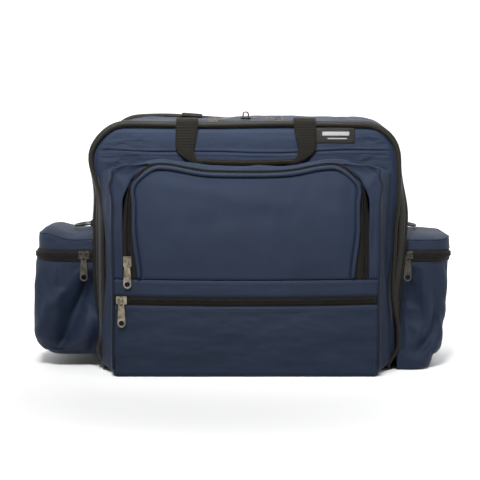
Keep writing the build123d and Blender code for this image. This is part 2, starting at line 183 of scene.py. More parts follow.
def lift_rear(p):
    """The back rim stands up a little at the left, where the stiff back holds it."""
    p = np.array(p, float)
    p[..., 2] += 5.6 * hollow_at(p[..., 0], -104.0, 62.0) * ramp(p[..., 1], 36.0, 75.0) * ramp(
        p[..., 2], 200.0, 282.0)
    return p


def corners_of(node):
    """A CAD node's lowest and highest corners, in millimetres."""
    return [[1000.0 * c for c in v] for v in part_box(node)]


def surface(name, grid, finish, inside, shape=None, closed=False, wall=0.0, back=None):
    """A sewn panel: rows and columns of points in millimetres, with a cloth map in metres. Its faces
    turn away from the point inside; wall is its thickness, and back its finish on the inner side."""
    grid = np.asarray(grid, float)
    rows, cols = grid.shape[:2]
    if shape is not None:
        grid = shape(grid)
    along = np.cumsum(np.r_[0.0, np.linalg.norm(np.diff(grid, axis=1), axis=2).mean(0)]) / 1000.0
    across = np.cumsum(np.r_[0.0, np.linalg.norm(np.diff(grid, axis=0), axis=2).mean(1)]) / 1000.0
    along = np.r_[along, along[-1] + along[1]]
    faces, maps = [], []
    for r in range(rows - 1):
        for c in range(cols if closed else cols - 1):
            d = (c + 1) % cols
            faces.append((r * cols + c, r * cols + d, (r + 1) * cols + d, (r + 1) * cols + c))
            maps.append(((along[c], across[r]), (along[c + 1], across[r]),
                         (along[c + 1], across[r + 1]), (along[c], across[r + 1])))
    flat = grid.reshape(-1, 3) / 1000.0
    ids = np.asarray(faces)
    turned = np.cross(flat[ids[:, 2]] - flat[ids[:, 0]], flat[ids[:, 3]] - flat[ids[:, 1]])
    out = flat[ids].mean(1) - np.asarray(inside, float) / 1000.0
    if (turned * out).sum() < 0.0:
        faces = [f[::-1] for f in faces]
        maps = [m[::-1] for m in maps]
    mesh = bpy.data.meshes.new(name)
    mesh.from_pydata(flat.tolist(), [], faces)
    layer = mesh.uv_layers.new(name="cloth")
    layer.data.foreach_set("uv", np.asarray(maps, float).ravel())
    mesh.materials.append(finish)
    work = bmesh.new()
    work.from_mesh(mesh)
    bmesh.ops.remove_doubles(work, verts=work.verts, dist=1e-6)
    work.to_mesh(mesh)
    work.free()
    mesh.shade_smooth()
    piece = bpy.data.objects.new(name, mesh)
    scene.collection.objects.link(piece)
    if wall:
        thick = piece.modifiers.new("cloth_thickness", "SOLIDIFY")
        thick.thickness = wall / 1000.0
        thick.offset = -1.0
        if back is not None:
            mesh.materials.append(back)
            thick.material_offset = 1
    return piece


def bare_finish(name):
    """A new finish, with its nodes, its linking call and its shader."""
    made = bpy.data.materials.new(name)
    made.use_nodes = True
    nodes = made.node_tree.nodes
    return made, nodes, made.node_tree.links.new, nodes["Principled BSDF"]


def reckoner(nodes, link):
    """Gives a call that adds one sum to a finish: its kind, then numbers or sockets."""
    def calc(kind, *values):
        node = nodes.new("ShaderNodeMath")
        node.operation = kind
        for socket, value in zip(node.inputs, values):
            if isinstance(value, (int, float)):
                socket.default_value = value
            else:
                link(value, socket)
        return node.outputs[0]

    return calc


def mottle(nodes, link, where, scale, detail):
    """Uneven patches, read at the place given; a larger scale makes them smaller."""
    patches = nodes.new("ShaderNodeTexNoise")
    patches.inputs["Scale"].default_value = scale
    patches.inputs["Detail"].default_value = detail
    link(where, patches.inputs["Vector"])
    return patches.outputs[0]


def two_tone(nodes, link, tone, colour, deep, pale):
    """Dyes a finish between a deeper and a paler tone of its colour."""
    blend = nodes.new("ShaderNodeMix")
    blend.data_type = "RGBA"
    link(tone, blend.inputs["Factor"])
    blend.inputs["A"].default_value = (*[c * deep for c in colour], 1.0)
    blend.inputs["B"].default_value = (*[min(1.0, c * pale) for c in colour], 1.0)
    link(blend.outputs["Result"], nodes["Principled BSDF"].inputs["Base Color"])


def raised(nodes, link, height, strength, distance):
    """Raises a finish's pattern; distance is its full height in metres."""
    relief = nodes.new("ShaderNodeBump")
    relief.inputs["Strength"].default_value = strength
    relief.inputs["Distance"].default_value = distance
    link(height, relief.inputs["Height"])
    link(relief.outputs["Normal"], nodes["Principled BSDF"].inputs["Normal"])


def cloth(name, colour, thread=0.9, rough=0.62, sheen=0.25, bump=0.35, tint=(0.5, 0.6, 0.8)):
    """Plain woven cloth: threads over and under on every side, uneven dye and rubbed places."""
    made, nodes, link, skin = bare_finish(name)
    skin.inputs["Sheen Weight"].default_value = sheen
    skin.inputs["Sheen Roughness"].default_value = 0.4
    skin.inputs["Sheen Tint"].default_value = (*tint, 1.0)
    skin.inputs["Specular IOR Level"].default_value = 0.16
    where, calc = nodes.new("ShaderNodeTexCoord"), reckoner(nodes, link)
    part, face = nodes.new("ShaderNodeSeparateXYZ"), nodes.new("ShaderNodeSeparateXYZ")
    link(where.outputs["Object"], part.inputs[0])
    link(where.outputs["Normal"], face.inputs[0])
    wave = [calc("SINE", calc("MULTIPLY", part.outputs[k], 2000.0 * math.pi / thread)) for k in range(3)]
    side = [calc("POWER", calc("ABSOLUTE", face.outputs[k]), 4.0) for k in range(3)]
    weave = calc(
        "ADD",
        calc("MULTIPLY", calc("MULTIPLY", wave[1], wave[2]), side[0]),
        calc("ADD", calc("MULTIPLY", calc("MULTIPLY", wave[0], wave[2]), side[1]),
             calc("MULTIPLY", calc("MULTIPLY", wave[0], wave[1]), side[2])))
    dye = mottle(nodes, link, where.outputs["Object"], 14.0, 5.0)
    slub = mottle(nodes, link, where.outputs["Object"], 420.0, 2.0)
    tone = calc("ADD", calc("MULTIPLY", dye, 0.42),
                calc("ADD", calc("MULTIPLY", slub, 0.22), calc("MULTIPLY", weave, 0.07)))
    two_tone(nodes, link, tone, colour, 0.72, 1.62)
    link(calc("ADD", rough - 0.08, calc("MULTIPLY", slub, 0.16)), skin.inputs["Roughness"])
    raised(nodes, link, calc("ADD", weave, slub), bump, 0.00035)
    return made


bag_middle = (0.0, 0.0, 140.0)
navy = cloth("navy_pack_cloth", (0.0106, 0.0174, 0.0352), sheen=0.05)
lining = cloth("dark_lining", (0.030, 0.032, 0.038), thread=0.6, rough=0.7, bump=0.2)

side_x = 1000.0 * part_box("side_panel_right")[1].x
top_z = 1000.0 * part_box("top_panel")[1].z
back_y = 1000.0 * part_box("top_panel")[1].y
tape_y = 1000.0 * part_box("main_zipper")[1].y
seam_y = 1000.0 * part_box("front_tape")[1].y
r_top, r_low = 42.0, 22.0
ring, outward = outline(side_x, 0.0, top_z, r_top, r_low, 300)
depth = np.linspace(tape_y - 1.0, back_y + 1.5, 44)
grid = np.zeros((len(depth), len(ring), 3))
for j, y in enumerate(depth):
    mid = math.sin(math.pi * (j / (len(depth) - 1)) ** 0.85)
    up = ramp(outward[:, 1], 0.2, 0.9)
    high_side = ramp(ring[:, 1], 165.0, 200.0) * (1.0 - up)
    crown = 5.8 * (1.0 - 0.3 * (ring[:, 0] / side_x) ** 2) - 3.4 * (1.0 - ramp(ring[:, 0], -80.0, 10.0))
    swell = mid * (crown * up + 1.6 * high_side)
    grid[j, :, 0] = ring[:, 0] + outward[:, 0] * swell
    grid[j, :, 1] = y
    grid[j, :, 2] = ring[:, 1] + outward[:, 1] * swell
free = np.maximum(ramp(grid[..., 2], 160.0, 185.0), 0.12) * ramp(grid[..., 2], 6.0, 30.0)
crease = rumple(grid, 34.0, 1.5, 3.0) * free
crease -= 2.2 * ramp(outward[None, :, 1], 0.2, 0.9) * ramp(grid[..., 1], 54.0, 73.0)
grid[..., 0] += outward[None, :, 0] * crease
grid[..., 2] = np.maximum(grid[..., 2] + outward[None, :, 1] * crease, 0.0)
gusset = surface("gusset", lift_rear(grid), navy, bag_middle, settle, closed=True, wall=1.6, back=lining)
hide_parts("base_panel", "side_panel_left", "side_panel_right", "top_panel")
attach(gusset, "shell")

# Back. A plain panel of the same cloth, stiffened by a board, sewn in with a black piped seam.
# It swells a few millimetres, with shallow creases running in from the corners.
rear_face = 1000.0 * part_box("rear_panel")[1].y
rows = []
for s in np.linspace(1.0, 0.0, 46):
    shape_2d, _ = outline(side_x - 2.6, 0.6, top_z - 2.6, r_top - 2.0, r_low - 2.0, 240)
    centre = np.array([0.0, 142.0])
    spot = centre + (shape_2d - centre) * s
    full = 3.4 * (1.0 - s ** 4)
    rows.append(line_of(spot[:, 0], rear_face - 1.6 + full, spot[:, 1]))
rows = np.asarray(rows)
rows[..., 1] += rumple(rows, 60.0, 1.4, 9.0) * ramp(rows[..., 1], rear_face - 1.2, rear_face + 1.0)
rear_skin = surface("rear_skin", rows, navy, bag_middle, lift_rear, closed=True, wall=1.5, back=lining)
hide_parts("rear_panel")
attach(rear_skin, "shell")


# Piping. A cord in black binding cloth is sewn into both rims of the bag. The front one opens with
# the front, and both start and end low at the sides, where the binding is tucked under.
def face_out(piece):
    """Turns every face of a closed piece outwards."""
    work = bmesh.new()
    work.from_mesh(piece.data)
    bmesh.ops.recalc_face_normals(work, faces=work.faces)
    work.to_mesh(piece.data)
    work.free()


def tube(name, path, radius, finish, wide=1.0, sides=12, closed=False, upright=(0.0, 1.0, 0.0)):
    """Cord along a line of points in millimetres, with tapered closed ends."""
    p = np.asarray(path, float)
    n = len(p)
    t = np.roll(p, -1, 0) - np.roll(p, 1, 0)
    if not closed:
        t[0], t[-1] = p[1] - p[0], p[-1] - p[-2]
    t /= np.linalg.norm(t, axis=1)[:, None]
    up = np.asarray(upright, float)
    a = np.cross(np.broadcast_to(up, p.shape), t)
    a /= np.linalg.norm(a, axis=1)[:, None]
    b = np.cross(t, a)
    r = np.broadcast_to(np.asarray(radius, float), (n,)).copy()
    ang = np.linspace(0.0, 2.0 * math.pi, sides, endpoint=False)
    body = (p[:, None] + r[:, None, None] * (np.cos(ang)[None, :, None] * a[:, None] * wide
                                             + np.sin(ang)[None, :, None] * b[:, None]))
    if closed:
        body = np.vstack([body, body[:1]])
    else:
        first, last = p[0] - t[0] * r[0] * 0.6, p[-1] + t[-1] * r[-1] * 0.6
        lead = [first + (body[0] - first) * k for k in (0.0, 0.55)]
        tail = [last + (body[-1] - last) * k for k in (0.55, 0.0)]
        body = np.vstack([np.asarray(lead), body, np.asarray(tail)])
    piece = surface(name, body, finish, (0, 0, 0), closed=True)
    face_out(piece)
    return piece


def hoop(half, high, r_high, start, y, count=260, grow=0.0):
    """The open line of a rim, up one side from height start, over the top and down the other."""
    line = [(half + grow, start)]
    for cx, turn in ((half - r_high, 0), (r_high - half, 90)):
        for k in range(13):
            a = math.radians(turn + 7.5 * k)
            line.append((cx + (r_high + grow) * math.cos(a), high - r_high + (r_high + grow) * math.sin(a)))
    line.append((-half - grow, start))
    p = evenly(line, count)
    return line_of(p[:, 0], y, p[:, 1])


def tuck(path, low, reach):
    """Bends the two low ends of a rim line in along the bag's bottom corner."""
    p = np.array(path, float)
    drop = 1.0 - ramp(p[:, 2], low, low + 26.0)
    p[:, 0] -= np.sign(p[:, 0]) * reach * drop
    return p


binding = cloth("black_binding", (0.0108, 0.0096, 0.0072), thread=0.7, rough=0.46, sheen=0.08, bump=0.25,
                tint=(0.8, 0.75, 0.65))
rear_rim = hoop(side_x - 2.4, top_z - 2.2, r_top - 2.0, 3.2, rear_face - 1.6)
rear_rim[:, 2] += 2.4 * ramp(rear_rim[:, 2], 255.0, 282.0)
rear_piping_cord = tube("rear_piping_cord", lift_rear(tuck(rear_rim, 3.2, 10.0)), 2.6, binding, wide=1.05)
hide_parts("rear_piping")
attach(rear_piping_cord, "shell")

front_y = 500.0 * sum(v.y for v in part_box("front_piping"))
front_rim = hoop(side_x - 2.6, top_z - 2.5, r_top - 2.6, 2.8, front_y)
front_rim[:, 2] += 0.7 * np.sin(front_rim[:, 0] / 31.0) * ramp(front_rim[:, 2], 260.0, 280.0)
front_rim = settle(tuck(front_rim, 2.8, 11.0))
swing = np.sin(front_rim[:, 2] / 37.0 + 0.6) * (1.0 - ramp(front_rim[:, 2], 150.0, 240.0))
front_rim[:, 0] += np.where(front_rim[:, 0] > 0.0, 2.4, 0.8) * swing
thick = 2.1 + 1.1 * ramp(front_rim[:, 2], 215.0, 276.0)
front_piping_cord = tube("front_piping_cord", front_rim, thick, binding, wide=1.15)
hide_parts("front_piping")
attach(front_piping_cord, "front")


# Front half of the opening band: black binding cloth from the piping back to the zipper. It is the
# dark strip seen along the top, and it goes with the front when the bag is opened flat.
def roll_out(line):
    """How far the opening band rolls out at the sides; it lies flat over the top."""
    z = line[:, 2]
    return (1.0 - ramp(z, 172.0, 234.0)) * (2.0 + 7.0 * ramp(z, 24.0, 110.0))


rows = []
for t, y, inset in (
    (0.0, front_y + 0.4, 0.4),
    (0.3, -79.6, 0.2),
    (0.7, -77.6, 0.0),
    (1.0, seam_y - 0.1, 0.3),
):
    line = hoop(side_x - inset, top_z - inset, r_top - inset, 3.0, y)
    line[:, 0] += np.sign(line[:, 0]) * roll_out(line) * 0.74 * ramp(t, 0.0, 1.0)
    rows.append(tuck(line, 3.0, 11.0))
front_band = surface("front_band", rows, binding, (0, -79, 140), settle, wall=1.2)
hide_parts("front_tape")
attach(front_band, "front")


# Main zipper. A heavy black coil zipper runs up both sides and over the top, sewn to the gusset.
# Its coils are drawn as two rows of close links on a ribbed tape, which rolls out at the sides.
def row_tree():
    """Small links or stitches set one after another along a line, turned to face outwards."""
    tree = bpy.data.node_groups.new("row_along_line", "GeometryNodeTree")
    face = tree.interface
    face.new_socket("Line", in_out="INPUT", socket_type="NodeSocketGeometry")
    for label in ("Pitch", "Link Length", "Link Width", "Link Height", "Side Shift", "Start"):
        face.new_socket(label, in_out="INPUT", socket_type="NodeSocketFloat")
    face.new_socket("Finish", in_out="INPUT", socket_type="NodeSocketMaterial")
    face.new_socket("Row", in_out="OUTPUT", socket_type="NodeSocketGeometry")
    new, link = tree.nodes.new, tree.links.new
    source, end = new("NodeGroupInput"), new("NodeGroupOutput")
    curve, trim, even = new("GeometryNodeMeshToCurve"), new("GeometryNodeTrimCurve"), new(
        "GeometryNodeResampleCurve")
    trim.mode = "LENGTH"
    even.mode = "LENGTH"
    trim.inputs[5].default_value = 100.0
    link(source.outputs["Line"], curve.inputs["Mesh"])
    link(curve.outputs["Curve"], trim.inputs["Curve"])
    link(source.outputs["Start"], trim.inputs[4])
    link(trim.outputs["Curve"], even.inputs["Curve"])
    link(source.outputs["Pitch"], even.inputs["Length"])
    way, out = new("GeometryNodeInputTangent"), new("GeometryNodeInputNamedAttribute")
    out.data_type = "FLOAT_VECTOR"
    out.inputs["Name"].default_value = "facing"
    across, shift, move = new("ShaderNodeVectorMath"), new("ShaderNodeVectorMath"), new(
        "GeometryNodeSetPosition")
    across.operation = "CROSS_PRODUCT"
    shift.operation = "SCALE"
    link(way.outputs[0], across.inputs[0])
    link(out.outputs[0], across.inputs[1])
    link(across.outputs[0], shift.inputs[0])
    link(source.outputs["Side Shift"], shift.inputs["Scale"])
    link(even.outputs["Curve"], move.inputs["Geometry"])
    link(shift.outputs[0], move.inputs["Offset"])
    turn, face_out = new("FunctionNodeAlignRotationToVector"), new("FunctionNodeAlignRotationToVector")
    turn.axis, face_out.axis, face_out.pivot_axis = "X", "Z", "X"
    link(way.outputs[0], turn.inputs["Vector"])
    link(turn.outputs[0], face_out.inputs["Rotation"])
    link(out.outputs[0], face_out.inputs["Vector"])
    bead, size, put = new("GeometryNodeMeshUVSphere"), new("ShaderNodeCombineXYZ"), new(
        "GeometryNodeInstanceOnPoints")
    bead.inputs["Segments"].default_value = 6
    bead.inputs["Rings"].default_value = 4
    bead.inputs["Radius"].default_value = 0.5
    for k, label in enumerate(("Link Length", "Link Width", "Link Height")):
        link(source.outputs[label], size.inputs[k])
    link(move.outputs["Geometry"], put.inputs["Points"])
    link(bead.outputs["Mesh"], put.inputs["Instance"])
    link(face_out.outputs[0], put.inputs["Rotation"])
    link(size.outputs[0], put.inputs["Scale"])
    real, dress, smooth = new("GeometryNodeRealizeInstances"), new("GeometryNodeSetMaterial"), new(
        "GeometryNodeSetShadeSmooth")
    link(put.outputs["Instances"], real.inputs[0])
    link(real.outputs[0], smooth.inputs["Geometry"])
    link(smooth.outputs[0], dress.inputs["Geometry"])
    link(source.outputs["Finish"], dress.inputs["Material"])
    link(dress.outputs[0], end.inputs[0])
    return tree


along_line = row_tree()


def row_of(name, lines, facing, finish, pitch, size, shifts=((0.0, 0.0),)):
    """Links of size (long, wide, high) every pitch along each line, in millimetres; shifts are
    (to the side, along) for each parallel row. Gives one plain mesh object."""
    parts = []
    for line in lines:
        p = np.asarray(line, float)
        out = np.broadcast_to(np.asarray(facing(p) if callable(facing) else facing, float), p.shape)
        for side, start in shifts:
            mesh = bpy.data.meshes.new(name)
            mesh.from_pydata((p / 1000.0).tolist(), [(k, k + 1) for k in range(len(p) - 1)], [])
            mesh.attributes.new("facing", "FLOAT_VECTOR", "POINT").data.foreach_set("vector", out.ravel())
            guide = bpy.data.objects.new(name + "_line", mesh)
            scene.collection.objects.link(guide)
            mod = guide.modifiers.new("row", "NODES")
            mod.node_group = along_line
            given = {"Pitch": pitch, "Link Length": size[0], "Link Width": size[1],
                     "Link Height": size[2], "Side Shift": side, "Start": start}
            for item in along_line.interface.items_tree:
                if item.in_out == "INPUT" and item.name in given:
                    mod[item.identifier] = given[item.name] / 1000.0
                if item.name == "Finish":
                    mod[item.identifier] = finish
            seen = guide.evaluated_get(bpy.context.evaluated_depsgraph_get())
            parts.append(bpy.data.meshes.new_from_object(seen))
            bpy.data.objects.remove(guide)
    work = bmesh.new()
    for mesh in parts:
        work.from_mesh(mesh)
        bpy.data.meshes.remove(mesh)
    whole = bpy.data.meshes.new(name)
    work.to_mesh(whole)
    work.free()
    whole.materials.clear()
    whole.materials.append(finish)
    whole.shade_smooth()
    piece = bpy.data.objects.new(name, whole)
    scene.collection.objects.link(piece)
    return piece


def coil_rows(name, line, facing, wide=3.0, high=1.8, apart=1.4):
    """The coils of a closed zipper, as two rows of close links beside its middle line."""
    return row_of(name, [line], facing, coil_black, 1.7, (1.3, wide, high), ((-apart, 0.0), (apart, 0.85)))


def outwards(p):
    """Outward from the middle of the bag, along a rim line."""
    t = np.gradient(p, axis=0)
    out = line_of(-t[:, 2], 0.0, t[:, 0])
    out /= np.linalg.norm(out, axis=1)[:, None]
    return out * np.sign((out * (p - np.array(bag_middle))).sum(1).mean())


coil_black = cloth("zipper_coil", (0.009, 0.008, 0.0065), thread=1.2, rough=0.4, sheen=0.02, bump=0.1)
tape_black = cloth("zipper_tape", (0.0058, 0.0052, 0.0042), thread=0.8, rough=0.7, sheen=0.05, bump=0.4)
chain_y = 0.5 * (1000.0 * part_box("main_zipper")[0].y - 66.0)
rows = []
for y, out in ((seam_y + 0.3, -0.4), (-73.6, 0.3), (-71.5, 0.5), (-69.0, 0.6), (-66.5, 0.5), (-63.5, 0.2),
               (tape_y - 0.4, -0.3), (tape_y + 2.0, -0.9)):
    line = hoop(side_x, top_z, r_top, 3.0, y, grow=out)
    line[:, 0] += np.sign(line[:, 0]) * roll_out(line) * max(0.0, 1.0 - ((y + 70.0) / 9.2) ** 2)
    rows.append(tuck(line, 3.0, 11.0))
rows = np.asarray(rows)
rows = np.stack([np.interp(np.linspace(0, 7, 22), np.arange(8), rows[:, c, k])
                 for c in range(rows.shape[1]) for k in range(3)], 1).reshape(22, rows.shape[1], 3)
main_tape = surface("main_zipper_tape", rows, tape_black, (0, -68, 140), settle, wall=1.0)
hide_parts("main_zipper")
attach(main_tape, "shell")
nearest = int(np.argmin(np.abs(rows[:, 130, 1] - chain_y)))
main_line = evenly(settle(rows)[nearest], 420)
main_coils = coil_rows("main_zipper_coils", main_line, outwards, 3.1, 1.9, 1.45)
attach(main_coils, "shell")

# Front. The outer front panel is a single navy sheet over a board, tucked in behind its piping, with
# one turned and top-stitched seam across it above the organizer and puckers where that seam ends.
def half_at(z, half, low, high, r_high, r_low):
    """Half the width of a rounded outline at each height."""
    z = np.asarray(z, float)
    up, down = np.clip(z - (high - r_high), 0.0, r_high), np.clip(low + r_low - z, 0.0, r_low)
    return half - r_high - r_low + np.sqrt(r_high ** 2 - up ** 2) + np.sqrt(r_low ** 2 - down ** 2)


def seam_at(x):
    """Height of the top-stitched seam across the front, which waves a little."""
    return 250.5 - 1.6 * np.cos(x / 60.0) - 0.8 * np.sin(x / 23.0)


panel_low, panel_high = corners_of("front_panel")
panel_y = panel_low[1]
tucked = 0.9
rows_z = np.r_[np.linspace(panel_low[2], 236.0, 40), np.linspace(237.0, panel_high[2] + tucked, 64)]
wide = half_at(rows_z, panel_high[0] + tucked, panel_low[2] - tucked, panel_high[2] + tucked, 37.6, 17.6)
span = np.linspace(-1.0, 1.0, 181)
grid = np.zeros((len(rows_z), len(span), 3))
grid[..., 0] = wide[:, None] * span
grid[..., 2] = rows_z[:, None]
x, z = grid[..., 0], grid[..., 2]
edge = np.minimum(wide[:, None] - np.abs(x), panel_high[2] + tucked - z)
lift = 1.3 * hollow_at(z, 264.0, 14.0) * (1.0 - (x / 175.0) ** 2)
fold = 0.6 * hollow_at(z, seam_at(x) + 2.2, 1.8) - 0.8 * hollow_at(z, seam_at(x), 0.9)
pucker = rumple(grid * np.array([1.0, 0.0, 2.2]), 22.0, 1.9, 5.0) * (0.25 + ramp(np.abs(x), 80.0, 160.0))
soft = ramp(edge, 2.0, 16.0)
grid[..., 1] = panel_y + 3.4 * (1.0 - ramp(edge, 1.0, 8.5)) - (lift + fold + pucker * 0.6) * soft
front_skin = surface("front_skin", grid, navy, bag_middle, settle, wall=1.5, back=lining)
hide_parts("front_panel")
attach(front_skin, "front")

navy_thread = cloth("navy_thread", (0.024, 0.040, 0.085), thread=0.4, rough=0.45, sheen=0.1)
across = np.linspace(-162.0, 162.0, 200)
line = settle(line_of(across, panel_y - 1.3, seam_at(across) - 2.6))
seam_stitches = row_of("front_seam_stitches", [line], (0, -1, 0), navy_thread, 3.4, (2.5, 0.55, 0.7))
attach(seam_stitches, "front")


# Hinge strip. Along the bottom there is no zipper: a folded strip of the black binding cloth is sewn
# to the gusset and to the foot of the front panel.
rows = []
for y, z, half in ((-57.0, 2.9, 158.0), (-61.5, 2.5, 158.5), (-65.5, 1.9, 159.0), (-69.0, 1.5, 159.5),
                   (-72.5, 1.4, 160.0), (-76.0, 1.5, 160.0), (-79.0, 2.3, 160.5), (-81.0, 4.0, 161.0),
                   (-81.3, 6.5, 162.0), (-81.2, 9.0, 163.0)):
    xs = np.linspace(-half, half, 121)
    rows.append(line_of(xs, y, z + 0.25 * np.sin(xs / 9.0)))
hinge_strip = surface("hinge_strip", rows, binding, (0, -70, 40), wall=1.1)
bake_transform(hinge_strip)


# Organizer. A deep boxed pocket stands on the front: a gusset round it, narrower in front than where
# it is sewn on. Its stuffed top rises at the two corners and sags between them, and its zipper dips.
def slump(p):
    """How the filled organizer gives: corners up, middle of the top and of the straight zipper down.
    The face is pressed in and out round the arch's two corners, and nipped in beside its feet."""
    corner_x, corner_z, corner_r = 96.5, 194.0, 30.0
    p = np.array(p, float)
    x, y, z = p[..., 0], p[..., 1], p[..., 2]
    out, wide = ramp(-y, 84.0, 112.0), np.abs(x)
    corners = 3.8 * (1.0 - ramp(wide, 108.0, 146.0)) + 8.6 * hollow_at(wide, 94.0, 35.0)
    sag = 2.2 * (1.0 - (x / 150.0) ** 2) * ramp(z, 20.0, 80.0) * (1.0 - ramp(z, 100.0, 150.0))
    p[..., 2] = z + out * (corners * ramp(z, 150.0, 224.0) - sag)
    over, up = np.maximum(wide - corner_x, 0.01), np.maximum(z - corner_z, 0.0)
    far = np.hypot(over, up)
    beyond, on_face = far - corner_r, ramp(-y, 116.0, 119.0)
    squeeze = 3.4 - 5.8 * ramp(beyond, 0.0, 10.5) * (1.0 - ramp(beyond, 12.0, 26.0))
    squeeze *= on_face * ramp(z, corner_z, 214.0) * ramp(far, 6.0, 28.0) * over / far
    squeeze *= 1.0 - ramp(beyond, 24.0, 30.0)
    nip = 6.0 * on_face * ramp(z, 110.3, 110.9) * (1.0 - ramp(z, 112.0, 172.0))
    nip = nip * ramp(wide, 70.0, 122.0) * (1.0 - ramp(wide, 126.5, 131.5))
    p[..., 2] += squeeze * up / far
    p[..., 0] = x + np.sign(x) * squeeze - np.sign(x) * nip
    swell = 1.0 - np.clip(wide / 127.0, 0.0, 1.0) ** 4
    p[..., 1] = y - out * swell * (2.6 * hollow_at(z, 40.0, 30.0) + 2.8 * hollow_at(z, 175.0, 42.0))
    return p


def lowered(x):
    """How much of the organizer's top edge is drawn down and back behind the arch, from 1 to 0."""
    return 1.0 - ramp(np.abs(x), 106.0, 141.0)


face_low, face_high = corners_of("pouch_lower")
face_y, face_half = face_low[1], face_high[0]
base_half = 1000.0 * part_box("pouch_side_right")[1].x
pouch_top_z = 1000.0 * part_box("pouch_top")[1].z
rows = []
for t in np.linspace(0.0, 1.0, 26):
    half = base_half + 1.0 - (base_half + 1.0 - face_half) * t
    loop_2d, way = outline(half, 0.0, pouch_top_z - 0.8 * (1 - t), 9.0 - 5.0 * t, 13.0 - 8.0 * t, 320)
    y = panel_y + 0.6 + (face_y + 0.9 - panel_y - 0.6) * t
    row = line_of(loop_2d[:, 0], y, loop_2d[:, 1])
    sides = ramp(np.abs(way[:, 0]), 0.5, 0.9)
    dip = 1.5 * math.sin(math.pi * t) ** 2 + 1.1 * hollow_at(t, 0.52, 0.09) - 0.9 * hollow_at(t, 0.72, 0.1)
    give = rumple(row, 30.0, 1.5, 12.0) * math.sin(math.pi * t)
    flare = 6.5 * (1.0 - t) ** 1.5 * (1.0 - hollow_at(loop_2d[:, 1], 128.0, 62.0))
    row[:, 0] -= way[:, 0] * sides * (dip + give - flare)
    row[:, 2] -= np.where(way[:, 1] > 0.0, way[:, 1] * (1.2 * math.sin(math.pi * t) + give), 0.0)
    open_top = ramp(way[:, 1], 0.3, 0.9) * lowered(loop_2d[:, 0]) * ramp(t, 0.55, 1.0)
    row[:, 2] -= 6.6 * open_top
    row[:, 1] += 9.6 * open_top
    rows.append(row)
pouch_wrap = surface("pouch_gusset", rows, navy, (0, -100, 117), slump, closed=True, wall=1.3, back=lining)
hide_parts("pouch_side_left", "pouch_side_right", "pouch_top", "pouch_bottom")
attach(pouch_wrap, "front")


def face_band(name, low, high, half, rows_count=20, curl=1.5, depth=0.9, seed=1.0):
    """A level strip of the organizer's face with its two long edges turned in."""
    zs = low + (high - low) * np.linspace(0.0, 1.0, rows_count)
    zs = np.r_[low, low + 0.5, zs[1:-1], high - 0.5, high]
    xs = np.linspace(-half, half, 171)
    made = np.zeros((len(zs), len(xs), 3))
    made[..., 0] = xs
    made[..., 2] = zs[:, None]
    rim = np.minimum(zs - low, high - zs)[:, None]
    made[..., 1] = face_y + curl * (1.0 - ramp(rim, 0.0, 2.2)) - rumple(
        made * np.array([0.5, 0.0, 1.2]), 26.0, depth, seed) * ramp(rim, 0.5, 12.0)
    piece = surface(name, made, navy, (0, 0, 100), slump, wall=1.2, back=lining)
    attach(piece, "front")
    return piece


strip_low, strip_high = 91.2, 110.2
lower_face = face_band("organizer_lower_face", 1.2, 81.5, face_half - 0.2, 44, depth=1.7, seed=2.0)
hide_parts("pouch_lower")
strip_face = face_band("organizer_strip", strip_low, strip_high, face_half - 0.2, 14, depth=0.5, seed=4.0)
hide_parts("pouch_strip")
lining_low, lining_high = corners_of("pocket_lining")
xs, zs = np.meshgrid(np.linspace(lining_low[0], lining_high[0], 60),
                     np.linspace(lining_low[2], lining_high[2], 20))
inner = np.stack([xs, np.full(xs.shape, lining_high[1]), zs], -1)
inner[..., 1] += np.abs(rumple(inner, 30.0, 2.0, 6.0))
inner_bag = surface("pocket_inner_bag", inner, lining, (0, 0, 40), wall=0.6)
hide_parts("pocket_lining")
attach(inner_bag, "front")

# Organizer edges. The face is joined to the gusset in a narrow self-bound seam down both sides,
# and rows of navy stitching hold the turned edges beside the zippers and along the strip.
# The seam cords are a darker navy than the cloth: painted shade, the shadowed groove of each seam drawn dark.
seam_navy_painted_shade = cloth("dark_seam_painted_shade", (0.0055, 0.0085, 0.017), thread=0.6, rough=0.6, sheen=0.03)
for sign in (-1.0, 1.0):
    zs = np.linspace(9.0, pouch_top_z - 3.0, 80)
    line = line_of(sign * (face_half + 0.2 + 0.4 * np.sin(zs / 19.0)), face_y - 0.1, zs)
    side = "left" if sign < 0.0 else "right"
    cord = tube("organizer_edge_" + side, slump(line), 1.35, seam_navy_painted_shade, wide=1.1)
    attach(cord, "front")
runs = []
for sign in (-1.0, 1.0):
    runs.append(slump(line_of(sign * (face_half - 4.2), face_y - 0.35, np.linspace(8.0, 224.0, 90))))
for z in (76.5, 95.6, 106.4):
    runs.append(slump(line_of(np.linspace(-face_half + 6.0, face_half - 6.0, 120), face_y - 0.35, z)))
face_stitches = row_of("organizer_stitches", runs, (0, -1, 0), navy_thread, 3.4, (2.5, 0.5, 0.6))
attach(face_stitches, "front")

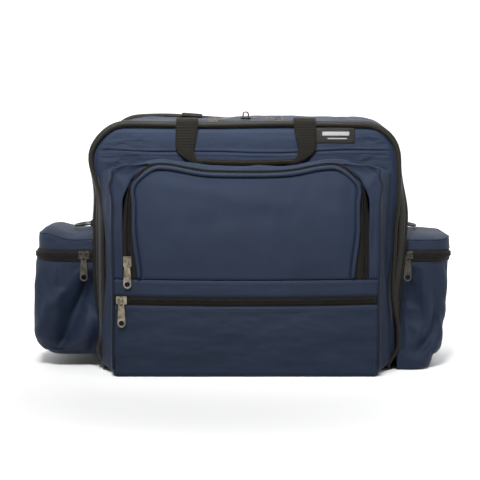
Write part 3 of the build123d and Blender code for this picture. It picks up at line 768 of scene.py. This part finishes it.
# Arched pocket front. Two narrow navy frames stand beside the arch; the arch itself is a black coil
# zipper that runs up, over and down, and the flap inside it hangs open forwards from its lower edge.
flap_low, flap_high = corners_of("pocket_flap")
arch_half, arch_top, arch_r, arch_foot = flap_high[0], flap_high[2], 30.0, flap_low[2]
tape_reach, lie_back, set_back = 10.2, 0.82, 9.4
for sign, side in ((-1.0, "left"), (1.0, "right")):
    arc = [(sign * (arch_half + tape_reach), face_y, strip_high)]
    rim = [(sign * (face_half - 0.4), face_y, strip_high)]
    for k in range(19):
        a = math.radians(64.0 * k / 18.0)
        back = float(ramp(math.sin(a), 0.3, 0.92))
        beyond = arch_r + tape_reach * (1.0 - lie_back * back)
        arc.append((sign * (arch_half - arch_r + beyond * math.cos(a)), face_y + set_back * back,
                    arch_top - arch_r + beyond * math.sin(a)))
        x = min(face_half - 0.4, 148.0 - 1.1 * max(0, k - 8) ** 1.55)
        down = float(lowered(x)) * float(ramp(k, 8, 12))
        rim.append((sign * x, face_y + set_back * down,
                    min(arch_top - arch_r + 8.0 + 5.4 * k, pouch_top_z - 0.6) - 6.4 * down))
    fine, at = np.linspace(0.0, 1.0, 70), np.r_[0.0, np.linspace(0.45, 1.0, 19)]
    arc, rim = (np.stack([np.interp(fine, at, c) for c in zip(*line)], 1) for line in (arc, rim))
    steps = np.linspace(0.0, 1.0, 14)[:, None]
    grid = arc[None] * (1.0 - steps[..., None]) + rim[None] * steps[..., None]
    waves = 0.9 * np.sin(grid[..., 2] / 13.0 + 2.0 * sign) + rumple(grid, 17.0, 1.0, 7.0 + sign)
    grid[..., 1] += (1.3 + waves) * np.sin(math.pi * steps) + 1.2 * (1.0 - ramp(steps, 0.0, 0.16))
    frame_skin = surface("organizer_frame_" + side, grid, navy, (0, 0, 160), slump, wall=1.2, back=lining)
    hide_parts("pouch_frame_" + side)
    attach(frame_skin, "front")


def arch_at(start, y, count, grow):
    """The arch line, grow outside the flap's edge; along the top it lies back over the organizer."""
    base = hoop(arch_half, arch_top, arch_r, start, face_y, count)
    out = hoop(arch_half, arch_top, arch_r, start, face_y, count, 1.0) - base
    back = ramp(out[:, 2], 0.3, 0.92)
    base += out * (grow * (1.0 - lie_back * back))[:, None]
    base[:, 1] += y + (grow + 1.0) * 0.86 * back
    return base


rows = []
for grow, y in ((-1.0, 1.9), (1.5, 1.6), (3.6, 1.2), (5.2, 0.9), (6.8, 1.2), (9.0, 1.5), (11.4, 1.9)):
    rows.append(arch_at(109.8, y, 220, grow))
arch_tape = surface("arch_zipper_tape", rows, tape_black, (0, 0, 160), slump, wall=0.8)
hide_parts("arch_zipper")
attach(arch_tape, "front")
arch_line = slump(arch_at(112.0, 0.2, 300, 5.2))
arch_coils = coil_rows("arch_zipper_coils", arch_line, (0, -1, 0))
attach(arch_coils, "front")

# Straight pocket zipper. A second black coil zipper runs right across the organizer, sewn between its
# lower face and the strip above, and closes the pocket behind the lower face.
rows = []
for z, y in ((79.6, 1.7), (82.0, 1.4), (84.4, 1.1), (86.5, 0.9), (88.6, 1.1), (91.0, 1.4), (93.0, 1.7)):
    rows.append(line_of(np.linspace(-face_half + 0.6, face_half - 0.6, 150), face_y + y, z))
pocket_tape = surface("pocket_zipper_tape", rows, tape_black, (0, 0, 86), slump, wall=0.8)
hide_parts("pocket_zipper")
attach(pocket_tape, "front")
pocket_line = slump(line_of(np.linspace(-face_half + 2.0, face_half - 2.0, 150), face_y + 0.2, 86.5))
pocket_coils = coil_rows("pocket_zipper_coils", pocket_line, (0, -1, 0))
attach(pocket_coils, "front")

# Flap. The arched panel of the large front pocket: one navy sheet, filled out from behind, with a cord
# in self cloth sewn round its arch. It is sewn to the strip along the foot, where it turns down.
zs = np.r_[arch_foot + 0.4, arch_foot + 1.2, np.linspace(arch_foot + 2.6, arch_top - 1.4, 74), arch_top - 0.7]
wide = half_at(zs, arch_half - 0.6, arch_foot - 40.0, arch_top - 0.6, arch_r, 20.0)
span = np.linspace(-1.0, 1.0, 161)
grid = np.zeros((len(zs), len(span), 3))
grid[..., 0] = wide[:, None] * span
grid[..., 2] = zs[:, None]
x, z = grid[..., 0], grid[..., 2]
edge = np.minimum(wide[:, None] - np.abs(x), arch_top - 0.6 - z)
foot = z - arch_foot
drape = rumple(grid * np.array([1.0, 0.0, 0.55]), 48.0, 1.6, 21.0) + 0.8 * hollow_at(
    z + 0.16 * x, 196.0, 9.0) - 0.7 * hollow_at(z - 0.1 * x, 178.0, 11.0)
grid[..., 1] = face_y + 2.6 * (1.0 - ramp(edge, 1.5, 6.0)) + 1.2 * (1.0 - ramp(foot, 0.0, 3.0)) - (
    drape + 1.2) * ramp(edge, 3.0, 24.0) * ramp(foot, 1.0, 22.0)
flap_skin = surface("flap_skin", grid, navy, (0, 0, 160), slump, wall=1.4, back=lining)
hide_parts("pocket_flap")
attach(flap_skin, "flap")
flap_cord = hoop(arch_half, arch_top, arch_r, 113.0, face_y - 0.9, 240, -1.9)
flap_cord[:, 0] += np.sign(flap_cord[:, 0]) * 0.6 * np.sin(flap_cord[:, 2] / 17.0)
flap_piping_cord = tube("flap_piping_cord", slump(flap_cord), 2.2, navy)
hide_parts("flap_piping")
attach(flap_piping_cord, "flap")


# Handles. Two loops of black ribbed webbing, one on the front and one on the back. Each leg is folded
# over the rim from its sewn tab, hangs flat, then doubles in at a slant into the rolled, stitched grip.
def webbing(name, colour, rib=1.75):
    """Ribbed strap: raised cross ribs along its length, fine threads between, rubbed pale on the ribs."""
    made, nodes, link, skin = bare_finish(name)
    skin.inputs["Sheen Weight"].default_value = 0.08
    skin.inputs["Sheen Tint"].default_value = (0.85, 0.8, 0.7, 1.0)
    skin.inputs["Specular IOR Level"].default_value = 0.08
    where, part = nodes.new("ShaderNodeUVMap"), nodes.new("ShaderNodeSeparateXYZ")
    where.uv_map = "cloth"
    link(where.outputs["UV"], part.inputs[0])
    calc = reckoner(nodes, link)
    ribs = calc("SINE", calc("MULTIPLY", part.outputs[1], 2000.0 * math.pi / rib))
    threads = calc("SINE", calc("MULTIPLY", part.outputs[0], 2000.0 * math.pi / 0.8))
    worn = mottle(nodes, link, where.outputs["UV"], 60.0, 6.0)
    tone = calc("ADD", calc("MULTIPLY", worn, 0.6), calc("MULTIPLY", ribs, 0.08))
    two_tone(nodes, link, tone, colour, 0.6, 1.7)
    link(calc("ADD", 0.45, calc("MULTIPLY", worn, 0.2)), skin.inputs["Roughness"])
    raised(nodes, link, calc("ADD", ribs, calc("MULTIPLY", threads, 0.25)), 0.5, 0.0005)
    return made


strap_black = webbing("ribbed_webbing", (0.0054, 0.0045, 0.0031))
black_thread = cloth("black_thread", (0.05, 0.047, 0.042), thread=0.4, rough=0.4, sheen=0.1)


def strap(name, rungs, corners=0.42, sides=28):
    """A flat or rolled strap through rungs of (one edge, other edge, thickness), in millimetres."""
    rungs = [(np.asarray(a, float), np.asarray(b, float), t) for a, b, t in rungs]
    ang = np.linspace(0.0, 2.0 * math.pi, sides, endpoint=False)
    made = []
    for k, (a, b, t) in enumerate(rungs):
        before, after = rungs[max(k - 1, 0)], rungs[min(k + 1, len(rungs) - 1)]
        way = (after[0] + after[1]) - (before[0] + before[1])
        normal = np.cross(way, b - a)
        normal /= np.linalg.norm(normal)
        soft = corners + (1.0 - corners) * ramp(t, 3.0, 6.5)
        c, s = np.cos(ang), np.sin(ang)
        c, s = np.sign(c) * np.abs(c) ** soft, np.sign(s) * np.abs(s) ** soft
        made.append((a + b) / 2.0 + c[:, None] * (b - a) / 2.0 + s[:, None] * normal * t / 2.0)
    closing = [np.tile(end.mean(0), (sides, 1)) for end in (made[0], made[-1])]
    made = [closing[0], *made, closing[1]]
    piece = surface(name, made, strap_black, (0, 0, 0), closed=True)
    face_out(piece)
    return piece


for place, facing in (("front", -1.0), ("rear", 1.0)):
    leg_box = [1000.0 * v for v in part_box(place + "_handle_leg_left")]
    grip_box = [1000.0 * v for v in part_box(place + "_handle_grip")]
    leg_y = leg_box[0].y + 1.1 if facing < 0.0 else leg_box[1].y - 1.1
    grip_y = (grip_box[0].y + grip_box[1].y) / 2.0
    pivot_y = -78.95 if facing < 0.0 else 73.85
    mid_z = (grip_box[0].z + grip_box[1].z) / 2.0
    plan = []
    tab_y = pivot_y - facing * 3.4
    for y, z, outer, inner_x in (
        (tab_y - facing * 2.0, 284.9, 78.5, 53.5),
        (tab_y, 286.2, 78.5, 53.5),
        (pivot_y - facing * 1.4, 287.5, 78.5, 53.4),
        (pivot_y + facing * 1.6, 287.9, 78.5, 53.4),
        (pivot_y + facing * 4.4, 286.4, 78.6, 53.5),
        (leg_y + facing * 0.3, 283.0, 78.7, 53.7),
        (leg_y + facing * 0.6, 278.0, 78.9, 54.2),
        (leg_y + facing * 0.7, 271.0, 79.2, 55.0),
        (leg_y + facing * 0.6, 264.0, 79.4, 56.4),
        (leg_y + facing * 0.4, 258.0, 79.3, 57.8),
    ):
        plan.append(((outer, y, z), (inner_x, y, z), 2.2))
    plan += [((78.9, leg_y, 252.6), (58.4, leg_y, 253.4), 2.3),
             ((76.0, leg_y, 248.6), (58.4, leg_y, 249.8), 2.8),
             ((71.5, (leg_y + grip_y) / 2, 244.9), (57.8, (leg_y + grip_y) / 2, 246.6), 3.8),
             ((66.0, grip_y, 240.6), (56.4, grip_y, 244.2), 5.4),
             ((60.5, grip_y, 236.6), (53.6, grip_y, 243.0), 6.8),
             ((54.5, grip_y, 234.9), (50.2, grip_y, 242.0), 7.6)]
    fine = []
    for first, second in zip(plan[:-1], plan[1:]):
        for t in (0.0, 0.34, 0.67):
            fine.append(tuple(np.asarray(a) * (1 - t) + np.asarray(b) * t for a, b in zip(first, second)))
    fine.append(plan[-1])
    right = [(np.asarray(a, float), np.asarray(b, float), float(t)) for a, b, t in fine]
    middle = []
    for x in np.linspace(46.0, -46.0, 40):
        sag = 1.6 * (1.0 - (x / 50.0) ** 2)
        middle.append((np.array([x, grip_y, mid_z - 4.3 - sag]),
                       np.array([x, grip_y, mid_z + 2.9 - sag]), 7.8))
    left = [(a * [-1, 1, 1], b * [-1, 1, 1], t) for a, b, t in right[::-1]]
    whole = [(lift_rear(a), lift_rear(b), t) for a, b, t in right + middle + left]
    handle = strap(place + "_handle_strap", whole)
    names = [place + "_handle_" + part for part in ("leg_left", "leg_right", "grip")]
    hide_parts(*names)
    parent = "front" if place == "front" else "shell"
    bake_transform(handle)
    xs = np.linspace(-54.0, 54.0, 90)
    line = line_of(xs, grip_y + facing * 3.35, mid_z + 1.0 - 1.6 * (1.0 - (xs / 50.0) ** 2))
    grip_stitches = row_of(place + "_grip_stitches", [line], (0, facing, 0), black_thread, 3.2,
                           (2.3, 0.6, 0.7))
    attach(grip_stitches, place + "_handle")
    tab_box = [1000.0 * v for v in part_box(place + "_handle_tabs")]
    low_y, high_y = tab_box[0].y - 0.6, tab_box[1].y + (3.0 if facing < 0.0 else 0.6)
    tab_z = tab_box[1].z - 0.1
    for sign, side in ((-1.0, "left"), (1.0, "right")):
        rungs = [(lift_rear((sign * 78.6, y, tab_z + 0.5 * ramp(y, low_y, low_y + 1.0))),
                  lift_rear((sign * 53.4, y, tab_z)), 1.3) for y in np.linspace(low_y, high_y, 6)]
        tab = strap(place + "_handle_tab_" + side, rungs)
        if side == "left":
            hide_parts(place + "_handle_tabs")
        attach(tab, parent)

# Maker's tag. A small black satin tag is sewn flat under the rim at the right. It carries no words,
# only a woven pale bar with a thinner one beneath.
tag_low, tag_high = corners_of("label")
satin = cloth("tag_satin", (0.0085, 0.008, 0.0075), thread=0.5, rough=0.4, sheen=0.15, bump=0.3)
pale_weave = cloth("tag_pale_weave", (0.26, 0.26, 0.265), thread=0.5, rough=0.55, bump=0.3)
tag_y = tag_low[1] - 0.5


def patch(name, x0, x1, z0, z1, y, thick, finish, corner=0.8):
    """A small flat sewn-on piece with rounded corners and a soft edge."""
    loop_2d, _ = outline((x1 - x0) / 2.0, z0, z1, corner, corner, 96)
    loop_2d = loop_2d + [(x0 + x1) / 2.0, 0.0]
    middle = loop_2d.mean(0)
    rows_made = []
    for s, dy in ((1.0, thick), (1.0, 0.35 * thick), (0.985, 0.08 * thick), (0.95, 0.0), (0.6, -0.12),
                  (0.0, -0.16)):
        spot = middle + (loop_2d - middle) * s
        rows_made.append(line_of(spot[:, 0], y + dy, spot[:, 1]))
    return surface(name, rows_made, finish, (0, 0, 0), closed=True)


tag = patch("makers_tag", tag_low[0], tag_high[0], tag_low[2], tag_high[2], tag_y, 1.6, satin)
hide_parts("label")
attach(tag, "front")
for name, x0, x1, z0, z1 in (
    ("tag_bar_wide", 86.0, 116.5, 268.6, 273.0),
    ("tag_bar_thin", 92.0, 114.0, 264.6, 265.9),
):
    bar = patch(name, x0, x1, z0, z1, tag_y - 0.28, 0.4, pale_weave, 0.5)
    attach(bar, "front")
inset = 1.3
loop_2d, _ = outline((tag_high[0] - tag_low[0]) / 2.0 - inset, tag_low[2] + inset, tag_high[2] - inset,
                     0.6, 0.6, 120)
loop_2d = np.vstack([loop_2d, loop_2d[:1]])
line = line_of(loop_2d[:, 0] + (tag_low[0] + tag_high[0]) / 2.0, tag_y - 0.1, loop_2d[:, 1])
tag_stitches = row_of("tag_stitches", [line], (0, -1, 0), black_thread, 2.2, (1.6, 0.4, 0.4))
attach(tag_stitches, "front")

# End pockets. Each end carries an unlined box of the same navy cloth, sewn to the side along its inner
# edges and round a turned base. The cloth hangs in long slack folds: the left one, empty, is drawn
# up off the ground, and the right one reaches it and tapers in towards its base.
def around(x_in, x_out, half, r, count):
    """The three free walls of an end pocket seen from above, front edge first, and their directions."""
    line = [(x_in, -half)]
    for cx, cy, turn in ((x_out - r, r - half, -90), (x_out - r, half - r, 0)):
        for k in range(10):
            a = math.radians(turn + 10.0 * k)
            line.append((cx + r * math.cos(a), cy + r * math.sin(a)))
    line.append((x_in, half))
    p = evenly(line, count)
    t = np.gradient(p, axis=0)
    t /= np.linalg.norm(t, axis=1)[:, None]
    return p, np.stack([t[:, 1], -t[:, 0]], 1)


def crease_line(x, z, a, b, wide, deep):
    """A soft hollow (or ridge, if deep is negative) along the line from a to b."""
    a, b = np.asarray(a, float), np.asarray(b, float)
    d = b - a
    t = np.clip(((x - a[0]) * d[0] + (z - a[1]) * d[1]) / (d @ d), 0.0, 1.0)
    gap = np.hypot(x - a[0] - t * d[0], z - a[1] - t * d[1])
    return deep * np.exp(-(gap / wide) ** 2)


def clear_of_pull(p):
    """Keeps the front wall flat behind the zipper pull, where the pull rests and slides on it."""
    p = np.array(p, float)
    beside = ramp(np.abs(p[..., 0]), 216.0, 226.0)
    limit = -68.9 - 12.0 * (1.0 - ramp(p[..., 2], 80.0, 97.0)) - 12.0 * beside
    p[..., 1] = np.maximum(p[..., 1], limit)
    return p


pocket_high = 1000.0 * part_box("end_pocket_left")[1]
pocket_half = pocket_high.y
body_shape = {
    -1.0: dict(base=15.2, out=((0.0, 231.5), (0.05, 236.0), (0.2, 243.5), (0.45, 248.5), (0.75, 249.5),
                               (0.92, 246.5), (1.0, 243.5)),
               folds=(((190.0, 100.0), (214.0, 30.0), 9.5, 17.0), ((208.0, 112.0), (236.0, 44.0), 11.0, -7.0),
                      ((236.0, 118.0), (224.0, 88.0), 7.0, 5.0), ((194.0, 60.0), (190.0, 24.0), 8.0, -6.0),
                      ((176.0, 118.0), (184.0, 66.0), 7.0, 5.0), ((222.0, 70.0), (232.0, 30.0), 6.0, 4.0))),
    1.0: dict(base=1.2, out=((0.0, 213.0), (0.06, 216.5), (0.2, 223.5), (0.45, 229.5), (0.75, 234.0),
                             (0.92, 235.5), (1.0, 236.0)),
              folds=(((198.0, 112.0), (192.0, 78.0), 8.0, 9.0), ((206.0, 104.0), (212.0, 60.0), 9.0, -4.5),
                     ((222.0, 56.0), (198.0, 20.0), 8.0, 7.0), ((188.0, 62.0), (182.0, 16.0), 8.0, 8.0),
                     ((230.0, 78.0), (214.0, 56.0), 6.0, 4.0), ((200.0, 46.0), (196.0, 12.0), 7.0, -4.0))),
}
wall_top = 126.0
soft_pockets = []
for sign, side in ((-1.0, "left"), (1.0, "right")):
    made = body_shape[sign]
    rows = []
    for t in np.r_[np.linspace(0.0, 0.06, 4), np.linspace(0.09, 1.0, 34)]:
        reach = np.interp(t, *zip(*made["out"]))
        gather = 3.5 * math.sin(math.pi * min(1.0, t * 1.02)) - (6.0 if sign < 0.0 else 0.0) * (1.0 - t) ** 5
        gather += 17.0 * (1.0 - ramp(t, -0.1, 0.62)) * (sign > 0.0)
        plan_xy, way = around(side_x - 1.6, reach, pocket_half + gather - 0.6, 24.0, 84)
        z = made["base"] + (wall_top - made["base"]) * t
        row = line_of(plan_xy[:, 0], plan_xy[:, 1], z)
        hold = ramp(t, 0.02, 0.2) * (1.0 - ramp(t, 0.8, 0.99)) * ramp(plan_xy[:, 0], side_x, side_x + 12.0)
        dent = sum(crease_line(row[:, 0], row[:, 2], *f) for f in made["folds"])
        dent = np.where(row[:, 1] < 0.0, dent, 0.7 * dent[::-1])
        slack = rumple(row * np.array([1.0, 0.6, 0.7]), 40.0, 3.4, 31.0 + 9.0 * sign)
        row[:, :2] += way * (slack - dent)[:, None] * hold[:, None]
        if t == 0.0:
            for s, drop in ((0.0, 0.0), (0.35, 0.0), (0.7, 0.0), (0.9, 0.2), (0.97, 0.6)):
                under = row.copy()
                sag = 2.4 * (1.0 - (2.0 * s - 1.0) ** 2 * 0.5) * (1.0 if sign < 0.0 else 0.2)
                under[:, 0] = side_x - 1.6 + (row[:, 0] - side_x + 1.6) * s
                under[:, 1] *= s if s else 0.02
                under[:, 2] = z - sag + drop
                rows.append(under)
        rows.append(clear_of_pull(row))
    rows = np.maximum(np.asarray(rows), [0.0, -999.0, 0.4]) * np.array([sign, 1.0, 1.0])
    pocket = surface("end_pocket_skin_" + side, rows, navy, (sign * 205.0, 0, 70), settle)
    if sign < 0.0:
        foot = evenly(settle(rows[8])[3:-3] * [1.0, 1.008, 1.0] + [-0.5, 0.0, 0.0], 150)
        # The base seam cord takes the darker seam navy: painted shade along the turned base.
        base_seam = tube("end_pocket_base_seam", foot, 0.75, seam_navy_painted_shade, upright=(0.0, 0.0, 1.0))
        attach(base_seam, "shell")
    soft_pockets.append((pocket, side))

# The folds above are where the cloth was gathered; here it falls between them under its own weight,
# held along its rim, its sewn inner edges and its base.
before = {}
for pocket, side in soft_pockets:
    mesh = pocket.data
    base_z = body_shape[-1.0 if side == "left" else 1.0]["base"] + 5.0
    held = pocket.vertex_groups.new(name="held")
    before[side] = np.array([v.co for v in mesh.vertices], float)
    for v in mesh.vertices:
        x, z = 1000.0 * abs(v.co.x), 1000.0 * v.co.z
        if z > wall_top - 6.0 or z < base_z or x < side_x + 1.0:
            held.add([v.index], 1.0, "REPLACE")
    hang = pocket.modifiers.new("hang", "CLOTH")
    hang.settings.quality = 7
    hang.settings.mass = 0.25
    hang.settings.tension_stiffness = 18.0
    hang.settings.compression_stiffness = 12.0
    hang.settings.shear_stiffness = 6.0
    hang.settings.bending_stiffness = 0.35
    hang.settings.shrink_min = -0.035
    hang.settings.vertex_group_mass = "held"
    hang.settings.use_pressure = True
    hang.settings.uniform_pressure_force = 0.15
    hang.settings.effector_weights.gravity = 0.35
    hang.collision_settings.use_collision = False
    hang.point_cache.frame_end = 24
for step in range(1, 21):
    scene.frame_set(step)
graph = bpy.context.evaluated_depsgraph_get()
for pocket, side in soft_pockets:
    moved = np.array([v.co for v in pocket.evaluated_get(graph).data.vertices], float)
    go = moved - before[side]
    far = np.linalg.norm(go, axis=1)[:, None]
    go *= np.minimum(1.0, 0.007 / np.maximum(far, 1e-9))
    pocket.modifiers.remove(pocket.modifiers["hang"])
    at = clear_of_pull(1000.0 * (before[side] + go)) / 1000.0
    at[:, 2] = np.maximum(at[:, 2], 0.0004)
    pocket.data.vertices.foreach_set("co", at.ravel())
    pocket.data.update()
scene.frame_set(1)

for pocket, side in soft_pockets:
    fine = pocket.modifiers.new("finer", "SUBSURF")
    fine.levels = fine.render_levels = 1
    thick = pocket.modifiers.new("cloth_thickness", "SOLIDIFY")
    thick.thickness = 0.0013
    thick.offset = -1.0
    pocket.data.materials.append(lining)
    thick.material_offset = 1
    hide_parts("end_pocket_" + side)
    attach(pocket, "shell")

# End zippers. A black coil zipper runs round the three free walls, just under the lid, standing out
# a little from the cloth. Its lower tape is turned over the pocket's rim and stitched through.
for sign, side in ((-1.0, "left"), (1.0, "right")):
    reach = 242.5 if sign < 0.0 else 237.0
    rows = []
    for z, out in ((122.6, 0.5), (124.4, 1.5), (126.6, 1.9), (129.0, 2.3), (131.5, 2.6), (134.0, 2.2),
                   (135.6, 1.6), (137.4, 0.4)):
        plan_xy, way = around(side_x - 1.0, reach - 1.3 + out, pocket_half - 1.3 + out, 24.0, 150)
        rows.append(line_of(sign * plan_xy[:, 0], plan_xy[:, 1], z))
    rows = np.asarray(rows)
    end_tape = surface("end_zipper_tape_" + side, rows, tape_black, (sign * 205.0, 0, 131), settle, wall=1.0)
    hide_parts("end_zipper_" + side)
    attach(end_tape, "shell")
    mid = evenly(settle(rows)[4], 300)
    t = np.gradient(mid, axis=0)
    out = line_of(t[:, 1], -t[:, 0], 0.0)
    out /= np.linalg.norm(out, axis=1)[:, None] * sign
    coils = coil_rows("end_zipper_coils_" + side, mid, out)
    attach(coils, "shell")
    low_line = settle(rows[0] + np.array([0.0, 0.0, -2.2]))
    rim_stitches = row_of("end_pocket_stitches_" + side, [evenly(low_line, 200)],
                          lambda p, o=out: o[np.linspace(0, 299, len(p)).astype(int)], navy_thread, 3.4,
                          (2.5, 0.5, 0.7))
    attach(rim_stitches, "shell")

# Lids. Each end pocket has a shallow lid, a short wall with a flat top sewn in, hinged where it meets
# the side. The left one is crumpled, high at its outer end; the right one slopes down outwards.
for sign, side in ((-1.0, "left"), (1.0, "right")):
    reach = 240.5 if sign < 0.0 else 237.6
    rows = []
    for z, grow, s in (
        (136.4, -0.6, 1.0), (137.4, 0.3, 1.0), (139.0, 0.2, 1.0), (141.5, 0.0, 1.0), (144.5, -0.1, 1.0),
        (147.0, -0.2, 1.0), (149.4, -0.5, 1.0), (150.6, -0.8, 0.998), (151.5, -1.4, 0.99),
        (152.6, -1.8, 0.967), (154.0, -1.0, 0.9), (155.4, -1.0, 0.82), (156.6, -1.0, 0.72),
        (157.4, -1.0, 0.6), (158.0, -1.0, 0.46), (158.3, -1.0, 0.3), (158.5, -1.0, 0.15),
        (158.5, -1.0, 0.02),
    ):
        plan_xy, way = around(side_x - 0.6, reach + grow, pocket_half - 0.8 + grow, 23.0, 110)
        x = side_x - 0.6 + (plan_xy[:, 0] - side_x + 0.6) * s
        row = line_of(x, plan_xy[:, 1] * s, z)
        up = ramp(z, 137.0, 156.0)
        out_part = (x - side_x) / (reach - side_x)
        if sign < 0.0:
            crumple = (9.0 * hollow_at(out_part, 0.84, 0.22) - 2.5 * hollow_at(out_part, 0.42, 0.2)
                       - 1.4 * (1.0 - ramp(out_part, 0.3, 0.6)))
            row[:, 2] += up * crumple * (0.6 + 0.4 * hollow_at(row[:, 1], -22.0, 40.0))
        else:
            row[:, 2] -= up * 2.6 * (1.0 - ramp(out_part, 0.75, 1.0))
        give = rumple(row * np.array([1.0, 0.7, 1.0]), 26.0, 1.7 if sign < 0.0 else 1.0, 51.0 + 7.0 * sign)
        keep = ramp(z, 137.0, 146.0) * ramp(x, side_x, side_x + 10.0)
        row[:, :2] += way * (give * keep * (1.0 if s == 1.0 else 0.3))[:, None]
        row[:, 2] += 0.8 * give * ramp(1.0 - s, 0.02, 0.15) * keep
        rows.append(row * np.array([sign, 1.0, 1.0]))
    lid = surface("end_lid_skin_" + side, rows, navy, (sign * 200.0, 0, 140), settle, wall=1.3, back=lining)
    fine = lid.modifiers.new("finer", "SUBSURF")
    fine.levels = fine.render_levels = 1
    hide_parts("end_lid_" + side)
    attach(lid, "lid_" + side)
    seam_line = settle(rows)[7][4:-4] + np.array([0.0, 0.0, 0.3])
    seam_cord = tube("end_lid_seam_" + side, evenly(seam_line, 160), 0.7, navy, upright=(0.0, 0.0, 1.0))
    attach(seam_cord, "lid_" + side)

# Ring tabs and lock tab. Short loops of the ribbed webbing hold the two strap rings on the lids, and a
# narrow folded tab behind the zipper holds the lock loop.
for sign, side in ((-1.0, "left"), (1.0, "right")):
    bar_x, bar_z, round_bar, half_wide = 182.0, 163.0, 2.75, 12.5
    path = [(175.4, bar_z + 2.6), (178.6, bar_z + 3.0)]
    for k in range(11):
        a = math.radians(90.0 - 18.0 * k)
        path.append((bar_x + round_bar * math.cos(a), bar_z + round_bar * math.sin(a)))
    path += [(178.6, bar_z - 2.8), (175.4, bar_z - 1.6)]
    rungs = [((sign * x, -half_wide, z), (sign * x, half_wide, z), 1.5) for x, z in path]
    loop = strap("ring_loop_" + side, rungs)
    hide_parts("ring_tab_" + side)
    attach(loop, "shell")
lock_box = [1000.0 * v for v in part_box("lock_tab")]
rungs = []
for y in np.linspace(lock_box[0].y, lock_box[1].y, 9):
    z = lock_box[1].z + 1.6 + 0.9 * math.sin((y + 64.0) / 14.0 * math.pi)
    rungs.append(((-6.0, y, z), (6.0, y, z), 1.4))
lock_strap = strap("lock_strap", rungs)
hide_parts("lock_tab")
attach(lock_strap, "shell")


# Metal and board. Sliders, pulls, strap rings and the lock loop are die-cast and plated, with fine
# rubbed scratches; the stiffening boards are covered in the same dark cloth as the inside.
def plated(name, colour, rough, dull):
    """Plated casting: brushed grain, small dents and places rubbed bright."""
    made, nodes, link, skin = bare_finish(name)
    skin.inputs["Metallic"].default_value = 1.0
    where = nodes.new("ShaderNodeTexCoord")
    grain = mottle(nodes, link, where.outputs["Object"], 900.0, 4.0)
    spots = mottle(nodes, link, where.outputs["Object"], 160.0, 3.0)
    tones, gloss = nodes.new("ShaderNodeValToRGB"), nodes.new("ShaderNodeMapRange")
    tones.color_ramp.elements[0].position = 0.32
    tones.color_ramp.elements[0].color = (*[c * dull for c in colour], 1.0)
    tones.color_ramp.elements[1].position = 0.62
    tones.color_ramp.elements[1].color = (*colour, 1.0)
    link(spots, tones.inputs[0])
    link(tones.outputs[0], skin.inputs["Base Color"])
    gloss.inputs["To Min"].default_value = rough - 0.08
    gloss.inputs["To Max"].default_value = rough + 0.16
    link(grain, gloss.inputs["Value"])
    link(gloss.outputs[0], skin.inputs["Roughness"])
    raised(nodes, link, grain, 0.25, 0.0002)
    return made


warm_nickel = plated("warm_nickel", (0.36, 0.315, 0.24), 0.3, 0.35)
gunmetal = plated("gunmetal", (0.11, 0.10, 0.085), 0.36, 0.5)
board_cloth = cloth("board_cover", (0.035, 0.036, 0.042), thread=0.7, rough=0.75, bump=0.25)
bright = ["main_slider_left", "main_slider_right", "main_pull_left", "main_pull_right", "arch_slider",
          "arch_pull", "pocket_slider", "pocket_pull"]
dark = ["end_slider_left", "end_slider_right", "end_pull_left", "end_pull_right", "d_ring_left",
        "d_ring_right", "lock_loop"]
boards = ["front_board", "rear_board", "base_board"]
for names, finish in ((bright, warm_nickel), (dark, gunmetal), (boards, board_cloth)):
    for name in names:
        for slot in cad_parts[name].material_slots:
            slot.material = finish
